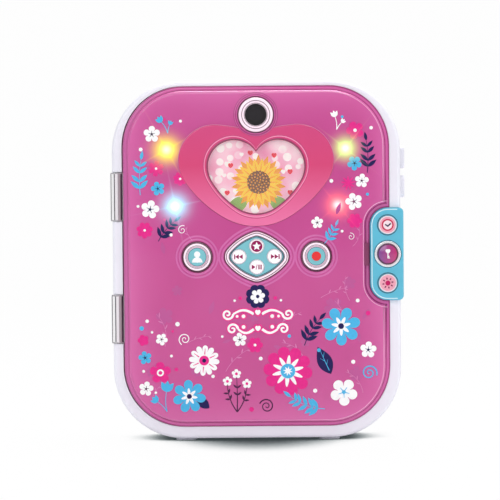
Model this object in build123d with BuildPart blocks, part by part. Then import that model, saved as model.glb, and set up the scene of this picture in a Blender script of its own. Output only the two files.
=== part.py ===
"""An electronic secret diary: a locked picture and music diary for a child, as an assembly.

It stands upright on two feet. +Z is up, the door faces -Y, and +X is to the right of
someone who looks at the door. The origin is the middle of its bounding box, on the floor.
Depths are measured backwards from the case's front rim, and widths from the case's middle.
"""

import os
from math import sqrt

from build123d import *

# How far a cut runs past the face that it starts from
cut_over = 1.0

# Case
case_width = 181.0
case_height = 224.6
case_depth = 40.0
case_corner_radius = 44.0
case_wall = 2.5
rim_fillet = 2.2
back_fillet = 8.0
parting_depth = 20.0
foot_width = 13.2
foot_length = 30.0
foot_height = 1.4
foot_spacing = 90.4
foot_corner = 3.0

# Door
door_side_border = 7.5
door_top_border = 3.6
door_bottom_border = 8.0
door_corner_inset = 6.4
door_wall = 2.4
door_step = 2.5
door_rim_proud = 0.6
door_panel_proud = 4.2
door_panel_fillet = 2.0
door_gap = 0.5
door_hinge_gap = 1.3
door_hole_gap = 0.8
door_corner_fillet = 0.8
door_seat_gap = 0.3

# Inner panel behind the door, and the ledge that it is screwed to
deck_depth = 5.0
deck_thickness = 2.4
ledge_width = 5.0
ledge_thickness = 2.4
fit_gap = 0.15

# Hinge clips and their pins
clip_length = 30.4
clip_spacing = 76.8
clip_rise = 1.8
clip_leaf_reach = 19.3
clip_leaf_thickness = 2.4
knuckle_radius = 3.7
pin_radius = 1.0
pin_engagement = 4.5
pin_running_gap = 0.06
hinge_inset = 2.7
hinge_depth = 2.3
hinge_notch_gap = 0.4
clip_screw_radius = 1.2
clip_screw_head_radius = 2.1
clip_screw_head_height = 0.6
clip_screw_length = 4.6
clip_screw_spacing = 18.0
clip_screw_reach = 14.6

# Heart on the door, its window and the screen behind it
heart_half_width = 48.4
heart_height = 63.2
heart_drop = 69.6
heart_proud = 1.2
heart_notch = 0.93
window_half_width = 30.1
window_height = 45.7
window_rise = 8.0
window_notch = 0.84
window_wall = 2.4
lens_lap = 1.2
lens_thickness = 1.2
lens_gap = 0.05
screen_width = 66.0
screen_height = 50.0
screen_thickness = 3.2
screen_front = -1.2
screen_wall = 2.0
screen_ledge = 3.0
flex_width = 20.0
flex_thickness = 0.3
flex_drop = 12.0
flex_slot_gap = 1.0

# Camera
camera_drop = 21.3
camera_ring_radius = 10.8
camera_ring_proud = 6.2
camera_ring_fillet = 1.2
camera_window_radius = 6.7
camera_window_thickness = 1.2
camera_window_front = -4.8
camera_barrel_bore = 4.5
camera_moulding_radius = 13.5
camera_moulding_step = 1.2
camera_moulding_rise = 0.5
camera_groove_radius = 9.0
camera_groove_width = 0.5
camera_groove_depth = 0.4
optics_length = 5.0
optics_front = -2.4
optics_edge = 1.0
sensor_size = 6.0
sensor_thickness = 1.5

# Buttons
button_drop = 19.1
button_travel = 0.8
button_gap = 0.2
button_flange_lip = 1.0
button_flange_thickness = 0.9
button_flange_gap = 0.1
button_switch_clearance = 0.2
button_edge = 0.7
round_button_spacing = 74.6
round_button_radius = 6.45
round_button_front = -4.6
bezel_radius = 9.1
bezel_front = -5.4
bezel_edge = 0.9
keypad_half_width = 21.5
keypad_half_height = 15.9
keypad_bulge = 2.6
keypad_corner = 7.0
keypad_rim = 2.8
keypad_face = -4.2
key_radius = 4.65
key_front = -5.2
key_reach_x = 11.1
key_reach_z = 6.5

# Lock panel at the right edge
lock_inset = 19.5
lock_proud_right = 1.6
lock_height = 58.1
lock_rise = 1.0
lock_corner = 11.0
lock_right_corner = 3.0
lock_proud = 3.5
lock_wall = 2.0
lock_edge = 1.2
lock_button_inset = 11.0
lock_button_pitch = 18.2
lock_button_radius = 5.5
lock_button_front = -4.6
lock_key_radius = 6.6
lock_key_front = -5.3
lock_ring_radius = 8.25
lock_ring_front = -4.4
lock_plate_lap = 3.0
lock_plate_thickness = 1.4
lock_board_depth = 2.4
lock_board_thickness = 1.0

# Latch
bolt_height = 7.0
bolt_thickness = 2.0
bolt_depth = 6.8
bolt_gap = 0.15
bolt_blade_length = 8.5
plunger_radius = 1.5
plunger_length = 9.0
solenoid_width = 10.0
solenoid_height = 14.0
solenoid_depth = 6.0
strike_thickness = 2.0
strike_height = 12.0
strike_side_gap = 3.0
strike_reach = 9.6
strike_window_gap = 0.4
strike_foot_width = 8.0
strike_foot_thickness = 1.6
strike_slot_gap = 0.8

# Side buttons
volume_length = 14.2
volume_width = 6.0
volume_proud = 3.4
volume_depth = 14.5
volume_flange_gap = 0.35
volume_rise = 42.1
volume_spacing = 18.5
side_board_thickness = 1.2
side_board_inset = 9.5
side_board_margin = 2.0
side_board_reach = 9.0

# Storage tray, note pad and pen
tray_left_margin = 30.5
tray_lock_gap = 13.0
tray_bottom_margin = 25.6
tray_button_gap = 25.0
tray_floor = 24.6
tray_wall = 1.6
tray_flange = 3.0
tray_corner = 8.0
pad_side_room = 12.0
pad_top_room = 18.0
pad_pages = 8.0
pad_cover = 0.6
pad_cover_lap = 1.0
pad_margin = 2.5
pen_radius = 4.0
pen_end_room = 16.0
pen_cap_length = 32.0
pen_cap_wall = 0.9
pen_spigot = 12.0
pen_tip_length = 12.0
pen_tip_taper = 12
pen_margin = 1.5

# Boards, lights, microphone and speaker
board_depth = 12.0
board_thickness = 1.6
board_left_lap = 10.1
board_right_lap = 6.1
board_drop = 15.0
board_top_margin = 10.0
board_corner = 22.0
post_radius = 3.0
post_inset = 8.0
post_rise = 7.0
post_step = 55.0
post_top_x = 40.0
board_screw_radius = 1.0
board_screw_head_radius = 2.2
board_screw_head_height = 1.2
board_screw_length = 6.0
switch_size = 6.0
light_upper_gap = 7.5
light_upper_drop = 21.4
light_lower_gap = 2.4
light_lower_drop = 56.8
light_radius = 2.5
light_front = 2.2
light_gap = 0.2
light_tip_fillet = 2.0
light_collar_lap = 0.4
light_collar_thickness = 1.0
led_size = 2.8
led_thickness = 0.8
chip_places = [(-20.0, -16.0), (16.0, 6.0)]
chip_size = 12.0
chip_thickness = 1.6
mic_x = 22.0
mic_drop = 10.0
mic_radius = 3.0
mic_length = 2.6
mic_hole_radius = 0.8
speaker_drop = 3.0
speaker_radius = 18.0
speaker_depth = 8.0
speaker_cone_radius = 15.0
speaker_cone_depth = 1.4
speaker_cone_taper = 45
speaker_magnet_radius = 10.0
grille_hole_radius = 1.1
grille_pitch = 4.2
grille_rings = 3
grille_ring_holes = 6

# Batteries
cell_radius = 7.25
cell_length = 50.5
cell_pitch = 15.2
cell_count = 4
cell_nub_radius = 2.7
cell_nub_length = 1.0
cell_gap = 0.15
contact_thickness = 0.4
contact_gap = 0.1
contact_size = 10.0
box_rise = 38.3
box_wall = 1.5
box_floor = 22.0
box_flange = 7.0
box_flange_thickness = 1.6
cover_lap = 3.5
cover_gap = 0.3
cover_corner = 4.0
cover_screw_drop = 4.4
cover_screw_sink = 0.6
cover_screw_head_height = 0.8
cover_boss_length = 11.5
countersink_depth = 1.25
countersink_taper = 40

# Screws that join the case
boss_radius = 4.0
boss_inset = 8.5
boss_floor = 11.5
screw_radius = 1.4
screw_clearance = 0.25
screw_head_radius = 2.8
screw_head_height = 2.2
screw_head_gap = 0.4
screw_slot_length = 3.9
screw_slot_width = 0.75
screw_seat_depth = 24.0
screw_reach = 8.0

# Derived places
left_proud = knuckle_radius - hinge_inset
case_x = (left_proud - volume_proud) / 2
rim_y = camera_ring_proud - (case_depth + camera_ring_proud) / 2
case_middle = foot_height + case_height / 2
case_top = foot_height + case_height
door_width = case_width - 2 * door_side_border
door_height = case_height - door_top_border - door_bottom_border
door_corner_radius = case_corner_radius - door_corner_inset
door_middle = foot_height + door_bottom_border + door_height / 2
camera_height = case_top - camera_drop
heart_tip = camera_height - heart_drop
window_tip = heart_tip + window_rise
button_height = heart_tip - button_drop
clip_middle = case_middle + clip_rise
clip_heights = [clip_middle + clip_spacing / 2, clip_middle - clip_spacing / 2]
deck_back = deck_depth + deck_thickness
ledge_back = deck_back + ledge_thickness
door_back = deck_depth - door_seat_gap
panel_back = door_wall - door_panel_proud
rim_back = door_wall - door_rim_proud
back_inner = case_depth - case_wall
hinge_x = hinge_inset - case_width / 2
lock_left = case_width / 2 - lock_inset
lock_middle = button_height + lock_rise
lock_button_x = lock_left + lock_button_inset
lock_width = lock_inset + lock_proud_right
volume_down = lock_middle + volume_rise
volume_heights = {"up": volume_down + volume_spacing, "down": volume_down}
lock_front_back = lock_wall - lock_proud
lock_button_spots = {
    "clock_button": lock_middle + lock_button_pitch,
    "key_button": lock_middle,
    "light_button": lock_middle - lock_button_pitch,
}
strike_right = lock_left - strike_side_gap
strike_left = strike_right - strike_thickness
button_switch_gap = button_travel + button_switch_clearance
flange_front = deck_back + button_flange_gap
switch_front = flange_front + button_flange_thickness + button_switch_gap
screen_middle = window_tip + window_height / 2
tray_left = tray_left_margin - case_width / 2
tray_right = lock_left - tray_lock_gap
tray_bottom = foot_height + tray_bottom_margin
tray_top = button_height - tray_button_gap
tray_width = tray_right - tray_left
tray_height = tray_top - tray_bottom
tray_middle = ((tray_left + tray_right) / 2, (tray_bottom + tray_top) / 2)
pad_width = tray_width - pad_side_room
pad_height = tray_height - pad_top_room
pen_length = tray_width - pen_cap_length - pen_end_room
light_upper = heart_half_width + light_upper_gap
light_lower = heart_half_width + light_lower_gap
light_spots = [
    (-light_upper, camera_height - light_upper_drop),
    (light_upper, camera_height - light_upper_drop),
    (-light_lower, camera_height - light_lower_drop),
    (light_lower, camera_height - light_lower_drop),
]
board_left = -light_upper - board_left_lap
board_right = light_upper + board_right_lap
board_bottom = button_height - board_drop
board_top = case_top - board_top_margin
post_left = board_left + post_inset
post_right = board_right - post_inset
post_low = board_bottom + post_rise
post_spots = [
    (post_left, post_low),
    (post_right, post_low),
    (post_left, post_low + post_step),
    (post_right, post_low + post_step),
    (-post_top_x, board_top - post_inset),
    (post_top_x, board_top - post_inset),
]
chip_spots = [(x, screen_middle + rise) for x, rise in chip_places]
mic_spot = (mic_x, button_height - mic_drop)
speaker_middle = (0.0, tray_middle[1] - speaker_drop)
box_middle = case_middle + box_rise
corner_reach = (case_corner_radius - boss_inset) / 2**0.5
corner_x = case_width / 2 - case_corner_radius + corner_reach
corner_low = foot_height + case_corner_radius - corner_reach
corner_high = case_top - case_corner_radius + corner_reach
boss_spots = [
    (-corner_x, corner_low),
    (corner_x, corner_low),
    (-corner_x, corner_high),
    (corner_x, corner_high),
    (boss_inset - case_width / 2, clip_middle),
    (0.0, foot_height + boss_inset),
]
box_width = cell_count * cell_pitch
box_height = cell_length + cell_nub_length + 2 * (contact_thickness + contact_gap)
cover_width = box_width + 2 * (box_wall + cover_lap)
cover_height = box_height + 2 * (box_wall + cover_lap + cover_screw_drop)
cell_depth = box_floor + cell_gap + cell_radius
cover_screw_z = cover_height / 2 - cover_screw_drop

os.makedirs("parts", exist_ok=True)


def at_depth(depth):
    """A plane that faces the front. Its axes run to the right and up from the floor."""
    return Plane(origin=(case_x, rim_y + depth, 0), x_dir=(1, 0, 0), z_dir=(0, -1, 0))


def at_height(height):
    """A plane that faces up. Its axes run to the right and backwards."""
    return Plane(origin=(case_x, rim_y, height), x_dir=(1, 0, 0), z_dir=(0, 0, 1))


def at_side(x):
    """A plane that faces right. Its axes run backwards and up from the floor."""
    return Plane(origin=(case_x + x, rim_y, 0), x_dir=(0, 1, 0), z_dir=(1, 0, 0))


def save(piece, name):
    """Label a finished piece and write its STEP file."""
    piece.part.label = name
    export_step(piece.part, f"parts/{name}.step")


def case_outline(inset=0.0):
    """The case from the front, inset by so much."""
    with BuildSketch() as outline:
        with Locations((0, case_middle)):
            RectangleRounded(case_width - 2 * inset, case_height - 2 * inset, case_corner_radius - inset)
    return outline.sketch


def recess_outline(inset=0.0):
    """The recess that takes the door, wider on its hinge side so that the door's edge swings clear."""
    width = door_width + door_gap + door_hinge_gap - 2 * inset
    height = door_height + 2 * door_gap - 2 * inset
    with BuildSketch() as outline:
        with Locations(((door_gap - door_hinge_gap) / 2, door_middle)):
            RectangleRounded(width, height, door_corner_radius + door_gap - inset)
    return outline.sketch


def lock_outline(grow=0.0):
    """The lock panel from the front, with its large round corners towards the door."""
    with BuildSketch() as outline:
        with Locations((lock_left - grow, lock_middle)):
            Rectangle(lock_width + 2 * grow, lock_height + 2 * grow, align=(Align.MIN, Align.CENTER))
        fillet(outline.vertices().group_by(Axis.X)[0], lock_corner + grow)
        fillet(outline.vertices().group_by(Axis.X)[-1], lock_right_corner + grow)
    return outline.sketch


def door_outline(inset=0.0):
    """The door from the front: a rounded sheet with a notch for the lock panel."""
    width = door_width - 2 * inset
    with BuildSketch() as outline:
        with Locations((0, door_middle)):
            RectangleRounded(width, door_height - 2 * inset, door_corner_radius - inset)
        add(lock_outline(door_gap + inset), mode=Mode.SUBTRACT)
        notch_reach = lock_height / 2 + door_gap + inset + door_corner_fillet
        low, high = lock_middle - notch_reach, lock_middle + notch_reach
        mouth = outline.vertices().filter_by_position(Axis.Y, low, high)
        fillet(mouth.group_by(Axis.X)[-1], door_corner_fillet)
    return outline.sketch


def heart(half_width, height, tip, notch):
    """A heart that stands on its tip. Notch is the notch's height as a share of the whole."""
    # Where its arcs meet, as shares of its half width and its height.
    turns = [(0.4, 0.08), (0.92, 0.446), (1, 0.63), (0.5, 1), (0, notch)]
    start = Vector(0, tip)
    heading = Vector(1, 0)
    with BuildSketch() as outline:
        with BuildLine():
            for share_x, share_z in turns:
                end = Vector(share_x * half_width, tip + share_z * height)
                arc = TangentArc(start, end, tangent=heading)
                start = end
                heading = arc % 1
            mirror(about=Plane.YZ)
        make_face()
    return outline.sketch


def window_outline(grow=0.0):
    """The heart window that the screen shows through."""
    return heart(window_half_width + grow, window_height + 2 * grow, window_tip - grow, window_notch)


def keypad_outline(inset=0.0):
    """The keypad's rounded diamond, with sides that bulge."""
    side = Vector(-keypad_half_width, keypad_half_height)
    outward = Vector(keypad_half_height, keypad_half_width).normalized()
    side_radius = side.length**2 / (8 * keypad_bulge) + keypad_bulge / 2
    center = Vector(keypad_half_width, keypad_half_height) / 2 + outward * (keypad_bulge - side_radius)
    radius = side_radius - inset
    across = Vector(center.X + sqrt(radius**2 - center.Y**2), 0)
    up = Vector(0, center.Y + sqrt(radius**2 - center.X**2))
    with BuildSketch() as quarter_turns:
        with BuildLine():
            ThreePointArc(across, center + outward * radius, up)
            mirror(about=Plane.YZ)
            mirror(about=Plane.XZ)
        make_face()
        fillet(quarter_turns.vertices(), keypad_corner - inset)
    with BuildSketch() as outline:
        with Locations((0, button_height)):
            add(quarter_turns.sketch)
    return outline.sketch


def disc(spot, radius):
    """A round hole or boss at a spot on the front."""
    with BuildSketch() as outline:
        with Locations(spot):
            Circle(radius)
    return outline.sketch


def block(spot, width, height, corner=0.0):
    """A rectangle on the front, about its middle, with round corners if it has any."""
    with BuildSketch() as outline:
        with Locations(spot):
            if corner:
                RectangleRounded(width, height, corner)
            else:
                Rectangle(width, height)
    return outline.sketch


def layer(outline, front, back, mode=Mode.ADD):
    """Fill or cut an outline between two depths, in the part that is being built."""
    with BuildSketch(at_depth(back)) as section:
        add(outline)
    extrude(section.sketch, amount=back - front, mode=mode)


def cut(outline, front, back):
    """Cut an outline between two depths."""
    layer(outline, front, back, mode=Mode.SUBTRACT)


def round_front(piece, radius):
    """Round the outer edge of a piece's foremost face."""
    front = piece.faces().sort_by(Axis.Y)[0]
    fillet(front.outer_wire().edges(), radius)


round_spots = {
    "portrait_button": (-round_button_spacing / 2, button_height),
    "record_button": (round_button_spacing / 2, button_height),
}
key_spots = {
    "previous_button": (-key_reach_x, button_height),
    "star_button": (0, button_height + key_reach_z),
    "next_button": (key_reach_x, button_height),
    "play_button": (0, button_height - key_reach_z),
}
strike_slot = block(
    ((strike_left - strike_slot_gap + lock_left) / 2, lock_middle),
    lock_left - strike_left + strike_slot_gap,
    strike_height + 2 * strike_slot_gap,
)


# Case ----------------------------------------------------------------------------------

with BuildPart() as front_frame:
    layer(case_outline(), 0, parting_depth)
    round_front(front_frame, rim_fillet)
    cut(recess_outline(), -cut_over, deck_back)
    cut(recess_outline(ledge_width), deck_back, ledge_back)
    cut(case_outline(case_wall), ledge_back, parting_depth)
    with BuildSketch(at_depth(ledge_back)):
        add(lock_outline(fit_gap + ledge_width))
        add(recess_outline(), mode=Mode.INTERSECT)
    extrude(amount=ledge_thickness)
    cut(lock_outline(fit_gap), -cut_over, ledge_back)
    cut(strike_slot, -cut_over, ledge_back + cut_over)
    for middle in clip_heights:
        notch_back = hinge_depth + knuckle_radius + hinge_notch_gap
        notch_width = case_width + recess_outline().bounding_box().min.X
        with BuildSketch(at_height(middle)):
            with Locations((-case_width, -cut_over)):
                Rectangle(notch_width, notch_back + cut_over, align=Align.MIN)
        extrude(amount=clip_length / 2 + hinge_notch_gap, both=True, mode=Mode.SUBTRACT)
        with BuildSketch(at_height(middle)):
            with Locations((hinge_x, hinge_depth)):
                Circle(pin_radius)
        extrude(amount=clip_length / 2 + pin_engagement, both=True, mode=Mode.SUBTRACT)
    for spot in boss_spots:
        layer(disc(spot, boss_radius), ledge_back, parting_depth)
        cut(disc(spot, screw_radius), boss_floor, parting_depth)
    for middle in volume_heights.values():
        with BuildSketch(at_side(case_width / 2)):
            with Locations((volume_depth, middle)):
                RectangleRounded(
                    volume_width + 2 * button_gap,
                    volume_length + 2 * button_gap,
                    volume_width / 2 + button_gap - fit_gap,
                )
        extrude(amount=-2 * case_wall, mode=Mode.SUBTRACT)
save(front_frame, "front_frame")

with BuildPart() as rear_shell:
    layer(case_outline(), parting_depth, case_depth)
    fillet(rear_shell.faces().sort_by(Axis.Y)[-1].edges(), back_fillet)
    offset(amount=-case_wall, openings=rear_shell.faces().sort_by(Axis.Y)[0])
    for spot in boss_spots:
        layer(disc(spot, boss_radius), parting_depth, back_inner + case_wall / 2)
        cut(disc(spot, screw_radius + screw_clearance), parting_depth, screw_seat_depth)
        cut(disc(spot, screw_head_radius + screw_head_gap), screw_seat_depth, case_depth)
    cut(block((0, box_middle), cover_width, cover_height, cover_corner), back_inner - cut_over, case_depth)
    cut(disc(speaker_middle, grille_hole_radius), back_inner - cut_over, case_depth)
    for ring in range(1, grille_rings + 1):
        with BuildSketch(at_depth(case_depth)):
            with Locations(speaker_middle):
                with PolarLocations(grille_pitch * ring, grille_ring_holes * ring):
                    Circle(grille_hole_radius)
        extrude(amount=2 * case_wall, both=True, mode=Mode.SUBTRACT)
save(rear_shell, "rear_shell")

with BuildPart() as case_screws:
    for spot in boss_spots:
        layer(disc(spot, screw_head_radius), screw_seat_depth, screw_seat_depth + screw_head_height)
        layer(disc(spot, screw_radius), parting_depth - screw_reach, screw_seat_depth)
        slot = block(spot, screw_slot_length, screw_slot_width)
        cut(slot, screw_seat_depth + screw_head_height / 2, screw_seat_depth + screw_head_height)
save(case_screws, "case_screws")

with BuildPart() as feet:
    with BuildSketch(at_height(0)):
        for side in (-1, 1):
            with Locations((side * foot_spacing / 2, case_depth / 2)):
                RectangleRounded(foot_width, foot_length, foot_corner)
    extrude(amount=foot_height)
save(feet, "feet")


# Inner panel and storage ---------------------------------------------------------------

with BuildPart() as inner_panel:
    layer(recess_outline(fit_gap), deck_depth, deck_back)
    for spot in post_spots:
        layer(disc(spot, post_radius), deck_back, board_depth)
        cut(disc(spot, board_screw_radius), deck_depth + deck_thickness / 2, board_depth)
    cut(lock_outline(2 * fit_gap), deck_depth, deck_back)
    cut(strike_slot, deck_depth, deck_back)
    cut(block(tray_middle, tray_width, tray_height, tray_corner), deck_depth, deck_back)
    cut(disc((0, camera_height), camera_window_radius + fit_gap), deck_depth, deck_back)
    for spot in round_spots.values():
        cut(disc(spot, round_button_radius + button_gap), deck_depth, deck_back)
    for spot in key_spots.values():
        cut(disc(spot, key_radius + button_gap), deck_depth, deck_back)
    for spot in light_spots:
        cut(disc(spot, light_radius + light_gap), deck_depth, deck_back)
    flex_gap = 2 * flex_slot_gap
    flex_slot = block((0, screen_middle - flex_drop), flex_width + flex_gap, flex_thickness + flex_gap)
    cut(flex_slot, deck_depth, deck_back)
    cut(disc(mic_spot, mic_hole_radius), deck_depth, deck_back)
save(inner_panel, "inner_panel")

with BuildPart() as storage_tray:
    walls = 2 * tray_wall
    layer(
        block(tray_middle, tray_width + walls, tray_height + walls, tray_corner),
        deck_back,
        tray_floor + tray_wall,
    )
    flange = 2 * (tray_wall + tray_flange)
    layer(
        block(tray_middle, tray_width + flange, tray_height + flange, tray_corner),
        deck_back,
        deck_back + tray_wall,
    )
    cut(block(tray_middle, tray_width, tray_height, tray_corner), deck_back, tray_floor)
save(storage_tray, "storage_tray")

pad_middle = (tray_middle[0], tray_middle[1] - tray_height / 2 + pad_margin + pad_height / 2)
pad_back = tray_floor - pad_cover
with BuildPart() as note_pages:
    layer(block(pad_middle, pad_width, pad_height), pad_back - pad_pages, pad_back)
save(note_pages, "note_pages")

with BuildPart() as note_cover:
    front = pad_back - pad_pages - pad_cover
    sheet = block(pad_middle, pad_width + 2 * pad_cover_lap, pad_height)
    layer(sheet, front, front + pad_cover)
    layer(sheet, pad_back, tray_floor)
    spine = (pad_middle[0] - pad_width / 2 - pad_cover_lap - pad_cover / 2, pad_middle[1])
    layer(block(spine, pad_cover, pad_height), front, tray_floor)
save(note_cover, "note_cover")

pen_x = tray_middle[0] - (pen_length + pen_cap_length) / 2
pen_z = tray_middle[1] + tray_height / 2 - pen_margin - pen_radius - pen_cap_wall
pen_depth = tray_floor - pen_radius - pen_cap_wall
pen_plane = Plane(at_side(pen_x).from_local_coords((pen_depth, pen_z, 0)), (0, 1, 0), (1, 0, 0))
with BuildPart() as pen_barrel:
    with BuildSketch(pen_plane):
        Circle(pen_radius)
    extrude(amount=pen_length)
    with BuildSketch(pen_plane.offset(pen_length)):
        Circle(pen_radius - pen_cap_wall)
    extrude(amount=pen_spigot)
    with BuildSketch(pen_plane.offset(pen_length + pen_spigot)):
        Circle(pen_radius - pen_cap_wall)
    extrude(amount=pen_tip_length, taper=pen_tip_taper)
    fillet(pen_barrel.faces().sort_by(Axis.X)[0].edges(), pen_radius / 2)
save(pen_barrel, "pen_barrel")

with BuildPart() as pen_cap:
    with BuildSketch(pen_plane.offset(pen_length)):
        Circle(pen_radius + pen_cap_wall)
    extrude(amount=pen_cap_length)
    with BuildSketch(pen_plane.offset(pen_length)):
        Circle(pen_radius - pen_cap_wall + pin_running_gap)
    extrude(amount=pen_cap_length - 2 * pen_cap_wall, mode=Mode.SUBTRACT)
    fillet(pen_cap.faces().sort_by(Axis.X)[-1].edges(), pen_radius / 2)
save(pen_cap, "pen_cap")


# Electronics ---------------------------------------------------------------------------

board_spot = ((board_left + board_right) / 2, (board_bottom + board_top) / 2)
with BuildPart() as main_board:
    layer(
        block(board_spot, board_right - board_left, board_top - board_bottom, board_corner),
        board_depth,
        board_depth + board_thickness,
    )
    for spot in post_spots:
        cut(disc(spot, board_screw_radius + fit_gap), board_depth, board_depth + board_thickness)
save(main_board, "main_board")

with BuildPart() as board_screws:
    for spot in post_spots:
        head = board_depth + board_thickness
        layer(disc(spot, board_screw_head_radius), head, head + board_screw_head_height)
        layer(disc(spot, board_screw_radius), head - board_screw_length, head)
save(board_screws, "board_screws")

with BuildPart() as board_chips:
    for spot in chip_spots:
        board_back = board_depth + board_thickness
        layer(block(spot, chip_size, chip_size), board_back, board_back + chip_thickness)
save(board_chips, "board_chips")

with BuildPart() as light_leds:
    for spot in light_spots:
        layer(block(spot, led_size, led_size), board_depth - led_thickness, board_depth)
save(light_leds, "light_leds")

with BuildPart() as light_pipes:
    for spot in light_spots:
        layer(disc(spot, light_radius), light_front, board_depth - led_thickness)
        collar_back = deck_back + light_collar_thickness
        layer(disc(spot, light_radius + light_collar_lap), deck_back, collar_back)
    tips = light_pipes.faces().group_by(Axis.Y)[0]
    fillet(tips.edges(), light_tip_fillet)
save(light_pipes, "light_pipes")

with BuildPart() as microphone:
    layer(disc(mic_spot, mic_radius), board_depth - mic_length, board_depth)
save(microphone, "microphone")

with BuildPart() as speaker:
    layer(disc(speaker_middle, speaker_radius), back_inner - speaker_depth / 2, back_inner)
    layer(disc(speaker_middle, speaker_magnet_radius), back_inner - speaker_depth, back_inner)
    with BuildSketch(at_depth(back_inner)):
        add(disc(speaker_middle, speaker_cone_radius))
    extrude(amount=speaker_cone_depth, taper=speaker_cone_taper, mode=Mode.SUBTRACT)
save(speaker, "speaker")


# Screen and camera ---------------------------------------------------------------------

screen_spot = (0, screen_middle)
screen_back = screen_front + screen_thickness
with BuildPart() as screen_housing:
    outer_width = screen_width + 2 * (fit_gap + screen_wall)
    outer_height = screen_height + 2 * (fit_gap + screen_wall)
    layer(block(screen_spot, outer_width, outer_height, screen_wall), screen_front, deck_depth)
    seat = block(screen_spot, screen_width + 2 * fit_gap, screen_height + 2 * fit_gap)
    cut(seat, screen_front, screen_back)
    opening = block(screen_spot, screen_width - 2 * screen_ledge, screen_height - 2 * screen_ledge)
    cut(opening, screen_back, deck_depth)
save(screen_housing, "screen_housing")

with BuildPart() as screen_module:
    layer(block(screen_spot, screen_width, screen_height), screen_front, screen_back)
save(screen_module, "screen_module")

with BuildPart() as screen_flex:
    layer(block((0, screen_middle - flex_drop), flex_width, flex_thickness), screen_back, board_depth)
save(screen_flex, "screen_flex")

camera_spot = (0, camera_height)
camera_window_back = camera_window_front + camera_window_thickness
with BuildPart() as camera_ring:
    layer(disc(camera_spot, camera_ring_radius), -camera_ring_proud, deck_depth)
    round_front(camera_ring, camera_ring_fillet)
    cut(disc(camera_spot, camera_window_radius + fit_gap), -camera_ring_proud, deck_depth)
    groove_inside = disc(camera_spot, camera_groove_radius - camera_groove_width)
    groove = disc(camera_spot, camera_groove_radius) - groove_inside
    cut(groove, -camera_ring_proud, camera_groove_depth - camera_ring_proud)
    mouth = camera_ring.edges().filter_by(GeomType.CIRCLE).sort_by(Axis.Y)
    mouth_radius = camera_window_radius + fit_gap
    mouth = mouth.filter_by(lambda edge: abs(edge.radius - mouth_radius) < fit_gap / 2)
    chamfer(mouth[0], camera_ring_fillet / 2)
save(camera_ring, "camera_ring")

with BuildPart() as camera_window:
    layer(disc(camera_spot, camera_window_radius), camera_window_front, camera_window_back)
save(camera_window, "camera_window")

with BuildPart() as camera_barrel:
    layer(disc(camera_spot, camera_window_radius), camera_window_back, board_depth)
    cut(disc(camera_spot, camera_barrel_bore), camera_window_back, board_depth)
save(camera_barrel, "camera_barrel")

with BuildPart() as camera_optics:
    layer(disc(camera_spot, camera_barrel_bore), optics_front, optics_front + optics_length)
    round_front(camera_optics, optics_edge)
save(camera_optics, "camera_optics")

with BuildPart() as camera_sensor:
    layer(block(camera_spot, sensor_size, sensor_size), board_depth - sensor_thickness, board_depth)
save(camera_sensor, "camera_sensor")


# Buttons on the inner panel, which pass through the door -------------------------------


def deck_button(spot, radius, front):
    """A button that slides in the inner panel, with a flange behind it that keeps it in."""
    with BuildPart() as button:
        flange_back = flange_front + button_flange_thickness
        layer(disc(spot, radius), front, flange_back)
        round_front(button, button_edge)
        layer(disc(spot, radius + button_gap + button_flange_lip), flange_front, flange_back)
    return button


for name, spot in round_spots.items():
    save(deck_button(spot, round_button_radius, round_button_front), name)

with BuildPart() as button_bezels:
    for spot in round_spots.values():
        layer(disc(spot, bezel_radius), bezel_front, deck_depth)
    fillet(button_bezels.faces().group_by(Axis.Y)[0].edges(), bezel_edge)
    for spot in round_spots.values():
        cut(disc(spot, round_button_radius + button_gap), bezel_front, deck_depth)
save(button_bezels, "button_bezels")

with BuildPart() as keypad_bezel:
    layer(keypad_outline(), bezel_front, deck_depth)
    round_front(keypad_bezel, bezel_edge)
    cut(keypad_outline(keypad_rim), bezel_front, deck_depth)
save(keypad_bezel, "keypad_bezel")

with BuildPart() as keypad_plate:
    layer(keypad_outline(keypad_rim + fit_gap), keypad_face, deck_depth)
    for spot in key_spots.values():
        cut(disc(spot, key_radius + button_gap), keypad_face, deck_depth)
save(keypad_plate, "keypad_plate")

for name, spot in key_spots.items():
    save(deck_button(spot, key_radius, key_front), name)


# Lock panel ----------------------------------------------------------------------------

lock_radii = {
    "clock_button": lock_button_radius,
    "key_button": lock_key_radius,
    "light_button": lock_button_radius,
}
lock_fronts = {
    "clock_button": lock_button_front,
    "key_button": lock_key_front,
    "light_button": lock_button_front,
}

with BuildPart() as lock_panel:
    layer(lock_outline(), -lock_proud, ledge_back)
    round_front(lock_panel, lock_edge)
    cut(lock_outline(-lock_wall), lock_front_back, ledge_back)
    for name, middle in lock_button_spots.items():
        cut(disc((lock_button_x, middle), lock_radii[name] + button_gap), -lock_proud, lock_front_back)
    slot = block((lock_left, lock_middle), 4 * lock_wall, bolt_height + 2 * bolt_gap)
    half = bolt_thickness / 2 + bolt_gap
    cut(slot, bolt_depth - half, bolt_depth + half)
save(lock_panel, "lock_panel")

with BuildPart() as lock_ring:
    spot = (lock_button_x, lock_middle)
    layer(disc(spot, lock_ring_radius), lock_ring_front, -lock_proud)
    round_front(lock_ring, (-lock_proud - lock_ring_front) / 2)
    cut(disc(spot, lock_key_radius + button_gap), lock_ring_front, -lock_proud)
save(lock_ring, "lock_ring")

lock_flange_front = lock_front_back + button_flange_gap
lock_flange_back = lock_flange_front + button_flange_thickness
for name, middle in lock_button_spots.items():
    with BuildPart() as lock_button:
        spot = (lock_button_x, middle)
        layer(disc(spot, lock_radii[name]), lock_fronts[name], lock_flange_back)
        round_front(lock_button, button_edge)
        flange_radius = lock_radii[name] + button_gap + button_flange_lip
        layer(disc(spot, flange_radius), lock_flange_front, lock_flange_back)
    save(lock_button, name)

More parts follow.
